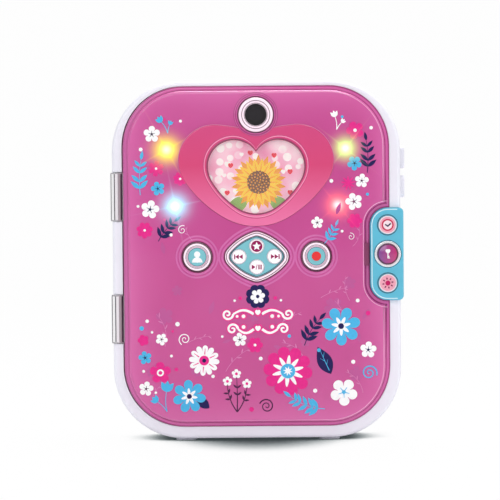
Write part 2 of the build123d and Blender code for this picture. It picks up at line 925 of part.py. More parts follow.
board_inset = lock_wall + fit_gap
with BuildPart() as lock_board:
    layer(lock_outline(-board_inset), lock_board_depth, lock_board_depth + lock_board_thickness)
save(lock_board, "lock_board")

plate_left = lock_left - lock_plate_lap
plate_right = case_width / 2 - case_wall - fit_gap
plate_height = lock_height + 2 * lock_plate_lap
with BuildPart() as lock_back_plate:
    layer(
        block(((plate_left + plate_right) / 2, lock_middle), plate_right - plate_left, plate_height),
        ledge_back,
        ledge_back + lock_plate_thickness,
    )
    relief_width = 2 * (lock_left - strike_left)
    strike_relief = block((strike_left, lock_middle), relief_width, strike_height + 2 * strike_slot_gap)
    cut(strike_relief, ledge_back, ledge_back + lock_plate_thickness)
save(lock_back_plate, "lock_back_plate")

bolt_tip = lock_left + fit_gap
bolt_half = bolt_thickness / 2
bolt_back = bolt_tip + bolt_blade_length
solenoid_left = bolt_back + fit_gap
with BuildPart() as latch_bolt:
    blade = block(((bolt_tip + bolt_back) / 2, lock_middle), bolt_blade_length, bolt_height)
    layer(blade, bolt_depth - bolt_half, bolt_depth + bolt_half)
    tip_edges = latch_bolt.faces().sort_by(Axis.X)[0].edges().filter_by(Axis.Z)
    chamfer(tip_edges, bolt_half / 2)
    with BuildSketch(at_side(bolt_back)):
        with Locations((bolt_depth, lock_middle)):
            Circle(plunger_radius)
    extrude(amount=plunger_length)
save(latch_bolt, "latch_bolt")

with BuildPart() as latch_solenoid:
    spot = (solenoid_left + solenoid_width / 2, lock_middle)
    layer(block(spot, solenoid_width, solenoid_height), ledge_back - solenoid_depth, ledge_back)
    with BuildSketch(at_side(solenoid_left)):
        with Locations((bolt_depth, lock_middle)):
            Circle(plunger_radius + fit_gap)
    extrude(amount=solenoid_width - fit_gap * 2, mode=Mode.SUBTRACT)
save(latch_solenoid, "latch_solenoid")


# Side buttons --------------------------------------------------------------------------

wall_inside = case_width / 2 - case_wall
volume_flange_right = wall_inside - volume_flange_gap
volume_flange_left = volume_flange_right - button_flange_thickness
for name, middle in volume_heights.items():
    with BuildPart() as volume_button:
        with BuildSketch(at_side(volume_flange_left)):
            with Locations((volume_depth, middle)):
                RectangleRounded(volume_width, volume_length, volume_width / 2 - fit_gap)
        extrude(amount=case_width / 2 + volume_proud - volume_flange_left)
        fillet(volume_button.faces().sort_by(Axis.X)[-1].edges(), button_edge)
        lip = 2 * (button_gap + button_flange_lip)
        with BuildSketch(at_side(volume_flange_left)):
            with Locations((volume_depth, middle)):
                Rectangle(volume_width + lip, volume_length + lip)
        extrude(amount=button_flange_thickness)
    save(volume_button, f"volume_{name}_button")

side_board_right = case_width / 2 - side_board_inset + side_board_thickness
side_low = min(volume_heights.values()) - volume_length / 2 - side_board_margin
side_high = max(volume_heights.values()) + volume_length / 2 + side_board_margin
with BuildPart() as side_board:
    spot = (side_board_right - side_board_thickness / 2, (side_low + side_high) / 2)
    layer(block(spot, side_board_thickness, side_high - side_low), ledge_back, ledge_back + side_board_reach)
save(side_board, "side_board")

with BuildPart() as tact_switches:
    for spot in [*round_spots.values(), *key_spots.values()]:
        layer(block(spot, switch_size, switch_size), (switch_front + board_depth) / 2, board_depth)
        layer(disc(spot, switch_size / 4), switch_front, board_depth)
    for middle in lock_button_spots.values():
        spot = (lock_button_x, middle)
        front = lock_flange_back + button_switch_gap
        layer(block(spot, switch_size, switch_size), (front + lock_board_depth) / 2, lock_board_depth)
        layer(disc(spot, switch_size / 4), front, lock_board_depth)
    for middle in volume_heights.values():
        reach = volume_flange_left - button_switch_gap - side_board_right
        for size, length in ((switch_size, reach / 2), (switch_size / 2, reach)):
            with BuildSketch(at_side(side_board_right)):
                with Locations((volume_depth, middle)):
                    Rectangle(size, size)
            extrude(amount=length)
save(tact_switches, "tact_switches")


# Batteries -----------------------------------------------------------------------------

box_spot = (0, box_middle)
flange_back = back_inner
with BuildPart() as battery_box:
    layer(
        block(box_spot, box_width + 2 * box_wall, box_height + 2 * box_wall),
        box_floor - box_wall,
        flange_back,
    )
    layer(
        block(box_spot, cover_width + box_flange, cover_height + box_flange, cover_corner),
        flange_back - box_flange_thickness,
        flange_back,
    )
    for side in (-1, 1):
        spot = (0, box_middle + side * cover_screw_z)
        boss_front = flange_back - cover_boss_length
        layer(disc(spot, boss_radius), boss_front, flange_back)
        cut(disc(spot, screw_radius), boss_front + cut_over, flange_back)
    cut(block(box_spot, box_width, box_height), box_floor, flange_back)
save(battery_box, "battery_box")

cell_columns = [(index - (cell_count - 1) / 2) * cell_pitch for index in range(cell_count)]
with BuildPart() as batteries:
    for index, x in enumerate(cell_columns):
        way = 1 if index % 2 == 0 else -1
        with BuildSketch(at_height(box_middle - way * (cell_length + cell_nub_length) / 2)):
            with Locations((x, cell_depth)):
                Circle(cell_radius)
        extrude(amount=way * cell_length)
        with BuildSketch(at_height(box_middle + way * (cell_length - cell_nub_length) / 2)):
            with Locations((x, cell_depth)):
                Circle(cell_nub_radius)
        extrude(amount=way * cell_nub_length)
save(batteries, "batteries")

with BuildPart() as battery_contacts:
    for x in cell_columns:
        for side in (-1, 1):
            edge = box_middle + side * box_height / 2
            with BuildSketch(at_height(edge - (contact_thickness if side > 0 else 0))):
                with Locations((x, cell_depth)):
                    Rectangle(contact_size, contact_size)
            extrude(amount=contact_thickness)
save(battery_contacts, "battery_contacts")

with BuildPart() as battery_cover:
    layer(
        block(box_spot, cover_width - 2 * cover_gap, cover_height - 2 * cover_gap, cover_corner - cover_gap),
        back_inner,
        case_depth,
    )
    for side in (-1, 1):
        spot = (0, box_middle + side * cover_screw_z)
        cut(disc(spot, screw_radius + screw_clearance), back_inner, case_depth)
        with BuildSketch(at_depth(case_depth)):
            add(disc(spot, screw_head_radius + screw_clearance))
        extrude(amount=countersink_depth, taper=countersink_taper, mode=Mode.SUBTRACT)
save(battery_cover, "battery_cover")

with BuildPart() as cover_screws:
    for side in (-1, 1):
        spot = (0, box_middle + side * cover_screw_z)
        head_back = case_depth - cover_screw_sink
        layer(disc(spot, screw_radius), back_inner - screw_reach, head_back)
        with BuildSketch(at_depth(head_back)):
            add(disc(spot, screw_head_radius - cover_screw_sink))
        extrude(amount=cover_screw_head_height, taper=countersink_taper)
save(cover_screws, "cover_screws")


# Door ----------------------------------------------------------------------------------

with BuildPart() as door_shell:
    layer(door_outline(), -door_rim_proud, door_back)
    layer(door_outline(door_step), -door_panel_proud, -door_rim_proud)
    round_front(door_shell, door_panel_fillet)
    cut(door_outline(door_step + door_wall), panel_back, rim_back)
    cut(door_outline(door_wall), rim_back, door_back)
    # Pads that the hinge clips are screwed to, and the ways for the clips through the skirt.
    for middle in clip_heights:
        left = hinge_x + clip_leaf_reach / 2
        right = hinge_x + clip_leaf_reach
        layer(block(((left + right) / 2, middle), right - left, clip_length), panel_back, rim_back)
        edge = -door_width / 2
        way = block((edge + door_wall / 2, middle), door_wall * 2, clip_length + 2 * fit_gap)
        cut(way, rim_back, door_back)
        for side in (-1, 1):
            spot = (hinge_x + clip_screw_reach, middle + side * clip_screw_spacing / 2)
            cut(disc(spot, clip_screw_radius), panel_back, rim_back + cut_over)
    # Block that the strike is fixed to.
    strike_foot = block((strike_right - strike_foot_width / 2, lock_middle), strike_foot_width, strike_height)
    layer(strike_foot, panel_back, rim_back)
    # Heart window.
    cut(window_outline(window_wall + lens_gap), -door_panel_proud, panel_back)
    # Moulded rings round the camera.
    for step in (0, 1):
        rise = (step + 1) * camera_moulding_rise
        ring = disc(camera_spot, camera_moulding_radius - step * camera_moulding_step)
        layer(ring, -door_panel_proud - rise, -door_panel_proud)
    cut(disc(camera_spot, camera_ring_radius + door_hole_gap), -camera_ring_proud, panel_back)
    for spot in round_spots.values():
        cut(disc(spot, bezel_radius + door_hole_gap), -door_panel_proud, panel_back)
    cut(keypad_outline(-door_hole_gap), -door_panel_proud, panel_back)
save(door_shell, "door_shell")

with BuildPart() as heart_bezel:
    big_heart = heart(heart_half_width, heart_height, heart_tip, heart_notch)
    heart_front = -door_panel_proud - heart_proud
    layer(big_heart, heart_front, -door_panel_proud)
    round_front(heart_bezel, heart_proud / 2)
    cut(disc(camera_spot, camera_moulding_radius + lens_gap), heart_front, -door_panel_proud)
    layer(window_outline(window_wall), -door_panel_proud, panel_back)
    cut(window_outline(), heart_front, panel_back)
    cut(window_outline(lens_lap), panel_back - lens_thickness, panel_back)
save(heart_bezel, "heart_bezel")

with BuildPart() as screen_lens:
    layer(window_outline(lens_lap - lens_gap), panel_back - lens_thickness, panel_back)
save(screen_lens, "screen_lens")

with BuildPart() as hinge_clips:
    for middle in clip_heights:
        with BuildSketch(at_height(middle)):
            with Locations((hinge_x, hinge_depth)):
                Circle(knuckle_radius)
            with Locations((hinge_x, rim_back)):
                Rectangle(clip_leaf_reach, clip_leaf_thickness, align=Align.MIN)
            with Locations((hinge_x, hinge_depth)):
                Circle(pin_radius + pin_running_gap, mode=Mode.SUBTRACT)
        extrude(amount=clip_length / 2, both=True)
        for side in (-1, 1):
            spot = (hinge_x + clip_screw_reach, middle + side * clip_screw_spacing / 2)
            cut(disc(spot, clip_screw_radius), rim_back, rim_back + clip_leaf_thickness)
save(hinge_clips, "hinge_clips")

with BuildPart() as hinge_pins:
    for middle in clip_heights:
        with BuildSketch(at_height(middle)):
            with Locations((hinge_x, hinge_depth)):
                Circle(pin_radius)
        extrude(amount=clip_length / 2 + pin_engagement, both=True)
save(hinge_pins, "hinge_pins")

with BuildPart() as clip_screws:
    for middle in clip_heights:
        for side in (-1, 1):
            spot = (hinge_x + clip_screw_reach, middle + side * clip_screw_spacing / 2)
            seat = rim_back + clip_leaf_thickness
            layer(disc(spot, clip_screw_radius), seat - clip_screw_length, seat)
            layer(disc(spot, clip_screw_head_radius), seat, seat + clip_screw_head_height)
save(clip_screws, "clip_screws")

with BuildPart() as door_strike:
    blade = block(((strike_left + strike_right) / 2, lock_middle), strike_thickness, strike_height)
    layer(blade, rim_back, strike_reach)
    layer(strike_foot, rim_back, rim_back + strike_foot_thickness)
    window_half = bolt_thickness / 2 + strike_window_gap
    window_height_over = bolt_height + 2 * strike_window_gap
    window_spot = ((strike_left + strike_right) / 2, lock_middle)
    window = block(window_spot, 2 * strike_thickness, window_height_over)
    cut(window, bolt_depth - window_half, bolt_depth + window_half)
save(door_strike, "door_strike")
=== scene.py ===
"""The looks of a child's electronic secret diary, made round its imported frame.

Lengths in the drawing functions are millimetres. The artwork is drawn on the front, with x to the
right of the case's middle and z up from the floor, and a depth is a place along Y in metres.
"""

import math
import random
from collections import defaultdict
from functools import partial

import bmesh
import bpy
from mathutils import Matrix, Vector, geometry


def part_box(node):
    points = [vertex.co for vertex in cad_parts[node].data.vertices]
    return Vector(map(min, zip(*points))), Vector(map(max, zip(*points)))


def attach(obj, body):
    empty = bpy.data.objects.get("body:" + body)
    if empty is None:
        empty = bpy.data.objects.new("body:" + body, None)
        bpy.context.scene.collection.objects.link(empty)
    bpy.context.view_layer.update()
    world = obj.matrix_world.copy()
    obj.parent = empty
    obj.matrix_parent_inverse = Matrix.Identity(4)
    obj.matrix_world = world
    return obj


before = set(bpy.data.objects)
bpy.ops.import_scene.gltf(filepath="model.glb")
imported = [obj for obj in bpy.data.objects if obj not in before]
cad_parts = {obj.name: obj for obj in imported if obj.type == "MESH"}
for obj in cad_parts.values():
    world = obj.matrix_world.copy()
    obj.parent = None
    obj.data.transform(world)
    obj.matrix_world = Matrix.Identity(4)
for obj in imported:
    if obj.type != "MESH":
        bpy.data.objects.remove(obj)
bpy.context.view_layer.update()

bl_info = {
    "name": "Electronic Secret Diary",
    "version": (1, 0, 0),
    "blender": (4, 5, 0),
    "location": "3D View > Sidebar > Diary",
    "description": "Builds the looks of a child's electronic diary with a locked door",
    "category": "Add Mesh",
}

MM = 0.001
FULL_TURN = 2 * math.pi
# Shapes of one colour that overlap lie this far apart, so that their faces never share a plane.
HAIR = 0.0012
HAIR_COUNT = 24

# Each piece rides a body of the frame, and each pair also names a slot for its looks.
ON_DOOR = ("door", "door_pink")
ON_HEART = ("door", "heart_pink")
ON_TRIM = ("case", "pearl_trim")
ON_SCREEN = ("case", "screen_glass")
ON_LOCK = ("case", "lock_cyan")
ON_CARD = ("case", "note_card")
ON_PANEL = ("case", "inner_pink")
ON_PEN = ("case", "steel")

ROUND_BUTTONS = ("portrait_button", "record_button")
KEYS = ("previous_button", "next_button", "star_button", "play_button")


# Places in the frame ----------------------------------------------------------------------------


def box_middle(node):
    """The middle of a node's box."""
    low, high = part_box(node)
    return (Vector(low) + Vector(high)) / 2


def face_depth(node):
    """The place along Y of a node's foremost point."""
    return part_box(node)[0][1]


CASE_X = box_middle("front_frame").x


def spot_of(node):
    """Where a node's middle is on the front, as (x, z)."""
    middle = box_middle(node)
    return (middle.x - CASE_X) / MM, middle.z / MM


def edges_of(node):
    """A node's left, right, bottom and top on the front."""
    low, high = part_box(node)
    return (low[0] - CASE_X) / MM, (high[0] - CASE_X) / MM, low[2] / MM, high[2] / MM


def size_of(node):
    """A node's width and height on the front."""
    low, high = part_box(node)
    return (high[0] - low[0]) / MM, (high[2] - low[2]) / MM


# Outlines, each a list of (x, z) points ---------------------------------------------------------


def out_from(x, z, reach, angle):
    """The point at a distance from (x, z), at an angle in radians."""
    return x + reach * math.cos(angle), z + reach * math.sin(angle)


def spoke(x, z, start, end, angle):
    """A straight line that points away from (x, z), between two distances from it."""
    return [out_from(x, z, start, angle), out_from(x, z, end, angle)]


def arc(x, z, radius, start, end, steps):
    """Points along an arc between two angles in degrees."""
    angles = (math.radians(start + (end - start) * step / steps) for step in range(steps + 1))
    return [out_from(x, z, radius, angle) for angle in angles]


def polar(x, z, reach, points=72, turn=0.0):
    """A closed outline about a middle, where reach gives the radius at each angle."""
    angles = (FULL_TURN * step / points for step in range(points))
    return [out_from(x, z, reach(angle), angle + turn) for angle in angles]


def circle(x, z, radius, points=40):
    return polar(x, z, lambda angle: radius, points)


def petalled(x, z, radius, petals, turn, points, shape):
    """Like petals with so many points each. Shape gives their reach from the wave of the angle."""

    def reach(angle):
        return radius * shape(abs(math.cos(petals * angle / 2)))

    return polar(x, z, reach, petals * points, turn)


def round_flower(x, z, radius, petals=5, turn=0.0, waist=0.42):
    """A flower of round petals that meet in narrow clefts."""
    return petalled(
        x, z, radius, petals, turn, 22, lambda wave: waist + (1 - waist) * wave**0.42
    )


def notched_flower(x, z, radius, petals=6, turn=0.0, waist=0.36):
    """A flower whose broad petals are nicked at their tips."""

    def shape(wave):
        nick = 0.13 * max(0.0, 1 - (1 - wave) * 16)
        return waist + (1 - waist) * wave**0.5 - nick

    return petalled(x, z, radius, petals, turn, 26, shape)


def pointed_flower(x, z, radius, petals=6, turn=0.0):
    """A flower of pointed petals."""
    return petalled(
        x, z, radius, petals, turn, 22, lambda wave: 0.3 + 0.5 * wave**0.8 + 0.2 * wave**6
    )


def scalloped(x, z, radius, lobes, depth=0.1, turn=0.0):
    """A round rosette with a scalloped edge."""
    return petalled(x, z, radius, lobes, turn, 10, lambda wave: 1 - depth + depth * wave**0.6)


def star(x, z, radius, points=5, waist=0.45, turn=math.pi / 2):
    outline = []
    for step in range(2 * points):
        reach = radius * waist if step % 2 else radius
        outline.append(out_from(x, z, reach, turn + math.pi * step / points))
    return outline


def leaf(x, z, length, width, angle):
    """A pointed leaf that grows from (x, z) at an angle in degrees."""
    steps = 12
    direction = Vector(out_from(0, 0, 1, math.radians(angle)))
    across = Vector((-direction.y, direction.x))
    sides = ([], [])
    for step in range(steps + 1):
        share = step / steps
        swell = width / 2 * math.sin(math.pi * share**0.85)
        for side, sign in zip(sides, (1, -1)):
            side.append(Vector((x, z)) + direction * length * share + across * swell * sign)
    return [tuple(point) for point in sides[0] + sides[1][-2:0:-1]]


def stroke(points, width, taper=0.35):
    """A line of some width that thins towards its end."""
    left, right = [], []
    count = len(points)
    for index, point in enumerate(points):
        before = Vector(points[max(index - 1, 0)])
        after = Vector(points[min(index + 1, count - 1)])
        along = (after - before).normalized()
        across = Vector((-along.y, along.x))
        half = width / 2 * (1 - (1 - taper) * index / (count - 1))
        left.append(tuple(Vector(point) + across * half))
        right.append(tuple(Vector(point) - across * half))
    return left + right[::-1]


def curved_line(x, z, length, angle, bend, steps=16):
    """Points along a gentle arc from (x, z) that starts at an angle and bends, in degrees."""
    points = [(x, z)]
    heading = math.radians(angle)
    for _ in range(steps):
        points.append(out_from(*points[-1], length / steps, heading))
        heading += math.radians(bend) / steps
    return points


def spiral_line(x, z, radius, turns, angle, way=1, steps=44):
    """Points of a spiral that winds in to (x, z) from an angle in degrees."""
    points = []
    for step in range(steps + 1):
        share = step / steps
        turn = math.radians(angle) + way * FULL_TURN * turns * share
        points.append(out_from(x, z, radius * (1 - 0.9 * share), turn))
    return points


def rounded_rectangle(x, z, width, height, corner, steps=10):
    outline = []
    for side_x, side_z, start in ((1, 1, 0), (-1, 1, 90), (-1, -1, 180), (1, -1, 270)):
        centre_x = x + side_x * (width / 2 - corner)
        centre_z = z + side_z * (height / 2 - corner)
        outline += arc(centre_x, centre_z, corner, start, start + 90, steps)
    return outline


def heart(half_width, height, tip, notch, steps=14):
    """A heart on its tip, a chain of arcs that run smoothly into each other."""
    # Where each arc ends, as shares of the half width and of the height.
    ends = ((0.4, 0.08), (0.92, 0.446), (1, 0.63), (0.5, 1), (0, notch))
    x, z, heading = 0.0, tip, 0.0
    right = [(x, z)]
    for share_x, share_z in ends:
        end_x = share_x * half_width
        end_z = tip + share_z * height
        half_sweep = math.remainder(math.atan2(end_z - z, end_x - x) - heading, FULL_TURN)
        radius = math.hypot(end_x - x, end_z - z) / (2 * math.sin(half_sweep))
        for step in range(1, steps + 1):
            turned = heading + 2 * half_sweep * step / steps
            point_x = x + radius * (math.sin(turned) - math.sin(heading))
            point_z = z - radius * (math.cos(turned) - math.cos(heading))
            right.append((point_x, point_z))
        x, z, heading = end_x, end_z, heading + 2 * half_sweep
    return right + [(-px, pz) for px, pz in right[-2:0:-1]]


def heart_at(x, z, size):
    """A small heart with its middle at (x, z)."""
    return [(px * size + x, (pz - 1) * size + z) for px, pz in heart(1.1, 2.0, 0, 0.78, 6)]


def front_outline(node, points=120):
    """The edge of a node's foremost face, which is convex, as evenly spaced points."""
    front = face_depth(node) + 0.05 * MM
    corners = [corner.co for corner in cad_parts[node].data.vertices]
    flat = [Vector(((co.x - CASE_X) / MM, co.z / MM)) for co in corners if co.y < front]
    edge = [flat[index] for index in geometry.convex_hull_2d(flat)]
    lengths = [(edge[index] - edge[index - 1]).length for index in range(len(edge))]
    outline = []
    for step in range(points):
        left = sum(lengths) * step / points
        index = 0
        while left > lengths[index]:
            left -= lengths[index]
            index += 1
        outline.append(tuple(edge[index - 1].lerp(edge[index], left / lengths[index])))
    return outline


def grown(outline, reach):
    """A convex outline with each of its points moved outward by so much."""
    moved = []
    for index, (x, z) in enumerate(outline):
        after = Vector(outline[(index + 1) % len(outline)])
        along = (after - Vector(outline[index - 1])).normalized()
        moved.append((x + reach * along.y, z - reach * along.x))
    return moved


# Meshes -----------------------------------------------------------------------------------------


def on_front(x, z, depth):
    """A point of the artwork in the frame."""
    return CASE_X + x * MM, depth, z * MM


def finish_piece(name, shape, material, body, slot, bevel=0.0):
    """Make a mesh into a piece with its material, its body and a small bevel. Its slot is not used.
    """
    mesh = bpy.data.meshes.new(name)
    shape.to_mesh(mesh)
    shape.free()
    mesh.materials.append(material)
    piece = bpy.data.objects.new(name, mesh)
    bpy.context.scene.collection.objects.link(piece)
    if bevel:
        modifier = piece.modifiers.new("edge", "BEVEL")
        modifier.width = bevel * MM
        modifier.segments = 2
        modifier.limit_method = "ANGLE"
        modifier.angle_limit = math.radians(40)
    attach(piece, body)


def inlay(name, outlines, depth, thickness, material, body, slot, bevel=0.0):
    """Thin plates that stand on a face at a depth, towards the front."""
    shape = bmesh.new()
    for number, outline in enumerate(outlines):
        front = depth - (thickness + number % HAIR_COUNT * HAIR) * MM
        face = shape.faces.new([shape.verts.new(on_front(x, z, front)) for x, z in outline])
        raised = bmesh.ops.extrude_face_region(shape, geom=[face])
        moved = [part for part in raised["geom"] if isinstance(part, bmesh.types.BMVert)]
        bmesh.ops.translate(shape, verts=moved, vec=(0, depth - front, 0))
    bmesh.ops.recalc_face_normals(shape, faces=shape.faces)
    concave = [face for face in shape.faces if len(face.verts) > 4]
    bmesh.ops.triangulate(shape, faces=concave, ngon_method="EAR_CLIP")
    finish_piece(name, shape, material, body, slot, bevel)


def skin(name, rows_at, material, body, slot):
    """A smooth closed skin over rows of points in the frame. A row of one point is its tip."""
    shape = bmesh.new()
    count = max(len(row) for row in rows_at)
    rows = []
    for row in rows_at:
        verts = [shape.verts.new(point) for point in row]
        rows.append(verts * (count // len(verts)))
    for row, after in zip(rows, rows[1:]):
        for index in range(count):
            following = (index + 1) % count
            corners = (row[index], row[following], after[following], after[index])
            shape.faces.new(list(dict.fromkeys(corners))).smooth = True
    bmesh.ops.recalc_face_normals(shape, faces=shape.faces)
    finish_piece(name, shape, material, body, slot)


def band(name, rails, material, body, slot):
    """A skin between rails, each a list of (x, z) points and a depth for all of them."""
    rows = [[on_front(x, z, depth) for x, z in points] for points, depth in rails]
    skin(name, rows, material, body, slot)


def raised_line(name, outline_at, depth, width, height, material, body, slot):
    """A rounded bead along an outline. outline_at gives the outline grown by so much."""
    steps = 6
    rails = []
    for step in range(steps + 1):
        angle = math.pi * step / steps
        rail = outline_at(-width / 2 * math.cos(angle))
        rails.append((rail, depth - height * MM * math.sin(angle)))
    band(name, rails, material, body, slot)


def lathe(name, spot, profile, material, body, slot, points=64):
    """A turned piece about a line along Y. Its profile is a list of (radius, depth)."""
    rails = []
    for radius, depth in profile:
        rails.append((circle(*spot, radius, points) if radius else [spot], depth))
    band(name, rails, material, body, slot)


def ring(name, spot, outer, inner, depth, material, body, slot, rise=0.04):
    """A thin flat ring that stands a little proud of a face."""
    front = depth - rise * MM
    profile = [(outer, depth), (outer - 0.04, front), (inner + 0.04, front), (inner, depth)]
    lathe(name, spot, profile, material, body, slot)


def dome_profile(radius, depth, rise, steps=10):
    """A shallow cap from its top to its edge."""
    shares = [step / steps for step in range(steps + 1)]
    return [(radius * share, depth - rise * MM * (1 - share**2)) for share in shares]


# Materials --------------------------------------------------------------------------------------


def linear(hex_colour):
    """A #rrggbb colour as linear red, green, blue and alpha."""
    channels = []
    for start in (1, 3, 5):
        value = int(hex_colour[start:start + 2], 16) / 255
        channels.append(value / 12.92 if value <= 0.04045 else ((value + 0.055) / 1.055) ** 2.4)
    return (*channels, 1.0)


def join(node, links):
    """Link a node's inputs, each to a node's first output or to (node, output)."""
    for name, source in links.items():
        source, output = source if isinstance(source, tuple) else (source, 0)
        node.id_data.links.new(source.outputs[output], node.inputs[name])


def add_node(tree, kind, inputs=None, links=None, stops=(), **settings):
    """Add a node with its settings, its input values, its links and its ramp's stops."""
    node = tree.nodes.new("ShaderNode" + kind)
    for name, value in settings.items():
        setattr(node, name, value)
    for name, value in (inputs or {}).items():
        node.inputs[name].default_value = value
    join(node, links or {})
    if stops:
        elements = node.color_ramp.elements
        for number, (position, colour) in ((0, stops[0]), (1, stops[-1])):
            elements[number].position = position
            elements[number].color = colour
        for position, colour in stops[1:-1]:
            elements.new(position).color = colour
    return node


class Finish:
    """A material in the making, its shader and the coordinates that its patterns follow."""

    def __init__(self, name, values):
        self.material = bpy.data.materials.new(name)
        self.material.use_nodes = True
        self.tree = self.material.node_tree
        self.shader = self.tree.nodes["Principled BSDF"]
        for socket, value in values.items():
            self.shader.inputs[socket].default_value = value
        self.add = partial(add_node, self.tree)
        self.place = (self.add("TexCoord"), "Object")

    def mottle(self, hex_colour, shift, patch_mm):
        """Let a colour drift a little over patches of so many millimetres."""
        scale = {"Scale": 1 / (patch_mm * MM), "Detail": 2.0}
        noise = self.add("TexNoise", scale, {"Vector": self.place})
        colour = linear(hex_colour)[:3]
        darker = (*(channel * (1 - shift) for channel in colour), 1)
        lighter = (*(min(1.0, channel * (1 + shift)) for channel in colour), 1)
        ramp = self.add("ValToRGB", None, {"Fac": noise}, ((0.3, darker), (0.7, lighter)))
        join(self.shader, {"Base Color": ramp})
        return ramp

    def tone_along(self, axis, start, end, stops, interpolation="LINEAR"):
        """Let the colour turn along an axis, between two places in metres."""
        parts = self.add("SeparateXYZ", None, {"Vector": self.place})
        share = self.add("MapRange", {"From Min": start, "From Max": end}, {"Value": (parts, axis)})
        colours = [(position, linear(hex_colour)) for position, hex_colour in stops]
        ramp = self.add("ValToRGB", None, {"Fac": share}, colours)
        ramp.color_ramp.interpolation = interpolation
        join(self.shader, {"Base Color": ramp})

    def grain(self, grain_mm, strength, height_mm=0.02):
        """Add a fine uneven surface of so many millimetres a bump. Returns the material."""
        scale = {"Scale": 1 / (grain_mm * MM), "Detail": 3.0}
        noise = self.add("TexNoise", scale, {"Vector": self.place})
        depth = {"Strength": strength, "Distance": height_mm * MM}
        join(self.shader, {"Normal": self.add("Bump", depth, {"Height": noise})})
        return self.material

    def painted_glow_at(self, spot, radius_mm, spikes_turn):
        """How strongly the painted glow of a lamp behind the plastic shows at each place: its halo
        and its core.
        """
        add = self.add
        x, _, z = on_front(*spot, 0)
        size = 1 / (radius_mm * MM)
        # The lamps stay in the case, so the painted glow follows where the surface is in the room.
        surface = add("NewGeometry")
        offset = add("VectorMath", {1: (-x, 0, -z)}, {0: surface}, operation="ADD")
        flat = add("VectorMath", {1: (size, 0, size)}, {0: offset}, operation="MULTIPLY")
        distance = add("VectorMath", None, {0: flat}, operation="LENGTH"), "Value"
        squared = add("Math", {1: 2.0}, {0: distance}, operation="POWER")
        # Each part falls off by so many powers of e over the radius.
        core, wide, far = (
            add("Math", {0: math.exp(-rate)}, {1: source}, operation="POWER")
            for source, rate in ((squared, 9.0), (squared, 1.5), (distance, 1.0))
        )
        turn = {"Axis": (0, 1, 0), "Angle": spikes_turn}
        parts = add("SeparateXYZ", None, {"Vector": add("VectorRotate", turn, {"Vector": flat})})
        cross = add("Math", None, {0: (parts, "X"), 1: (parts, "Z")}, operation="MULTIPLY")
        arms = add("Math", None, {0: cross}, operation="ABSOLUTE")
        thin = add("Math", {0: math.exp(-12.0)}, {1: arms}, operation="POWER")
        rays = add("Math", None, {0: far, 1: thin}, operation="MULTIPLY")
        halo = add("Math", {1: 0.4}, {0: rays, 2: wide}, operation="MULTIPLY_ADD")
        return halo, core

    def paint_lamp_glow(self, colour, lights):
        """Paint the glow of the lamps behind the door into a colour that comes from a node, and let
        the surface give it off.
        """
        total = None
        for spot, light_hex, radius_mm, turn in lights:
            halo, core = self.painted_glow_at(spot, radius_mm, turn)
            light = linear(light_hex)
            links = {0: halo, 6: colour}
            mix = self.add("Mix", {7: light}, links, data_type="RGBA", clamp_factor=True)
            colour = (mix, 2)
            for share, tint, strength in ((halo, light, 0.6), (core, linear("#FFFFFF"), 0.8)):
                glow = {0: tuple(strength * channel for channel in tint[:3])}
                part = self.add("VectorMath", glow, {"Scale": share}, operation="SCALE")
                if total is not None:
                    part = self.add("VectorMath", None, {0: total, 1: part}, operation="ADD")
                total = part
        join(self.shader, {"Base Color": colour, "Emission Color": total})
        self.shader.inputs["Emission Strength"].default_value = 1.0


def moulded_plastic(name, hex_colour, roughness=0.3, coat=0.0, glow=0.0, shift=0.03):
    """Injection-moulded ABS: an even colour with faint flow marks and a fine spark-eroded grain."""
    values = {"Roughness": roughness, "IOR": 1.53, "Coat Weight": coat, "Coat Roughness": 0.08}
    # A glow makes the plastic give off light of its own colour: real for a lit screen or lamp, a
    # painted glow elsewhere.
    if glow:
        values.update({"Emission Color": linear(hex_colour), "Emission Strength": glow})
    finish = Finish(name, values)
    finish.mottle(hex_colour, shift, 22)
    return finish.grain(0.7, 0.12)


def printed_ink(name, hex_colour, shift=0.04, lights=()):
    """Pad-printed ink under clear lacquer: dense, slightly uneven colour with a soft gloss.

    Ink on the door can carry the painted glow of the lamps behind it.
    """
    finish = Finish(name, {"Roughness": 0.32, "IOR": 1.5, "Specular IOR Level": 0.25})
    ramp = finish.mottle(hex_colour, shift, 1.6)
    if lights:
        finish.paint_lamp_glow(ramp, lights)
    return finish.grain(0.3, 0.06)


def toned_styrene(name, axis, start, end, stops, roughness=0.2, coat=0.4, wave=(6.0, 0.05)):
    """Tinted styrene whose colour turns along an axis, with wavy gloss."""
    values = {"Roughness": roughness, "IOR": 1.56, "Coat Weight": coat, "Coat Roughness": 0.05}
    finish = Finish(name, values)
    finish.tone_along(axis, start, end, stops)
    return finish.grain(*wave, 0.1)


def two_tone(name, axis, start, end, start_hex, end_hex, coat=0.4):
    """Tinted styrene that turns from one colour to another between two places in millimetres."""
    stops = ((0, start_hex), (1, end_hex))
    return toned_styrene(name, axis, start * MM, end * MM, stops, coat=coat)


def clear_plastic(name, hex_colour, roughness, values):
    """Clear polystyrene: light goes through it, and its moulded face is a little wavy."""
    values = {"Base Color": linear(hex_colour), "Roughness": roughness, "IOR": 1.5, **values}
    return Finish(name, values).grain(5.0, 0.05, 0.1)


def metal(name, hex_colour, roughness, grain_mm=0.5):
    """Plated metal: its colour is in its reflection, and fine marks break the gloss."""
    finish = Finish(name, {"Metallic": 1.0, "Roughness": roughness})
    finish.mottle(hex_colour, 0.05, 3)
    return finish.grain(grain_mm, 0.08)


def pearl_lacquer(name, hex_colour):
    """Pearl lacquer over ABS: a smooth pale pink with a faint sheen of its flakes, and a painted
    glow that makes it brighter.
    """
    values = {
        "Roughness": 0.2,
        "Coat Weight": 0.7,
        "Coat Roughness": 0.04,
        "Sheen Weight": 0.2,
        "Emission Color": linear(hex_colour),
        "Emission Strength": 0.15,
    }
    finish = Finish(name, values)
    finish.mottle(hex_colour, 0.015, 2.5)
    return finish.material


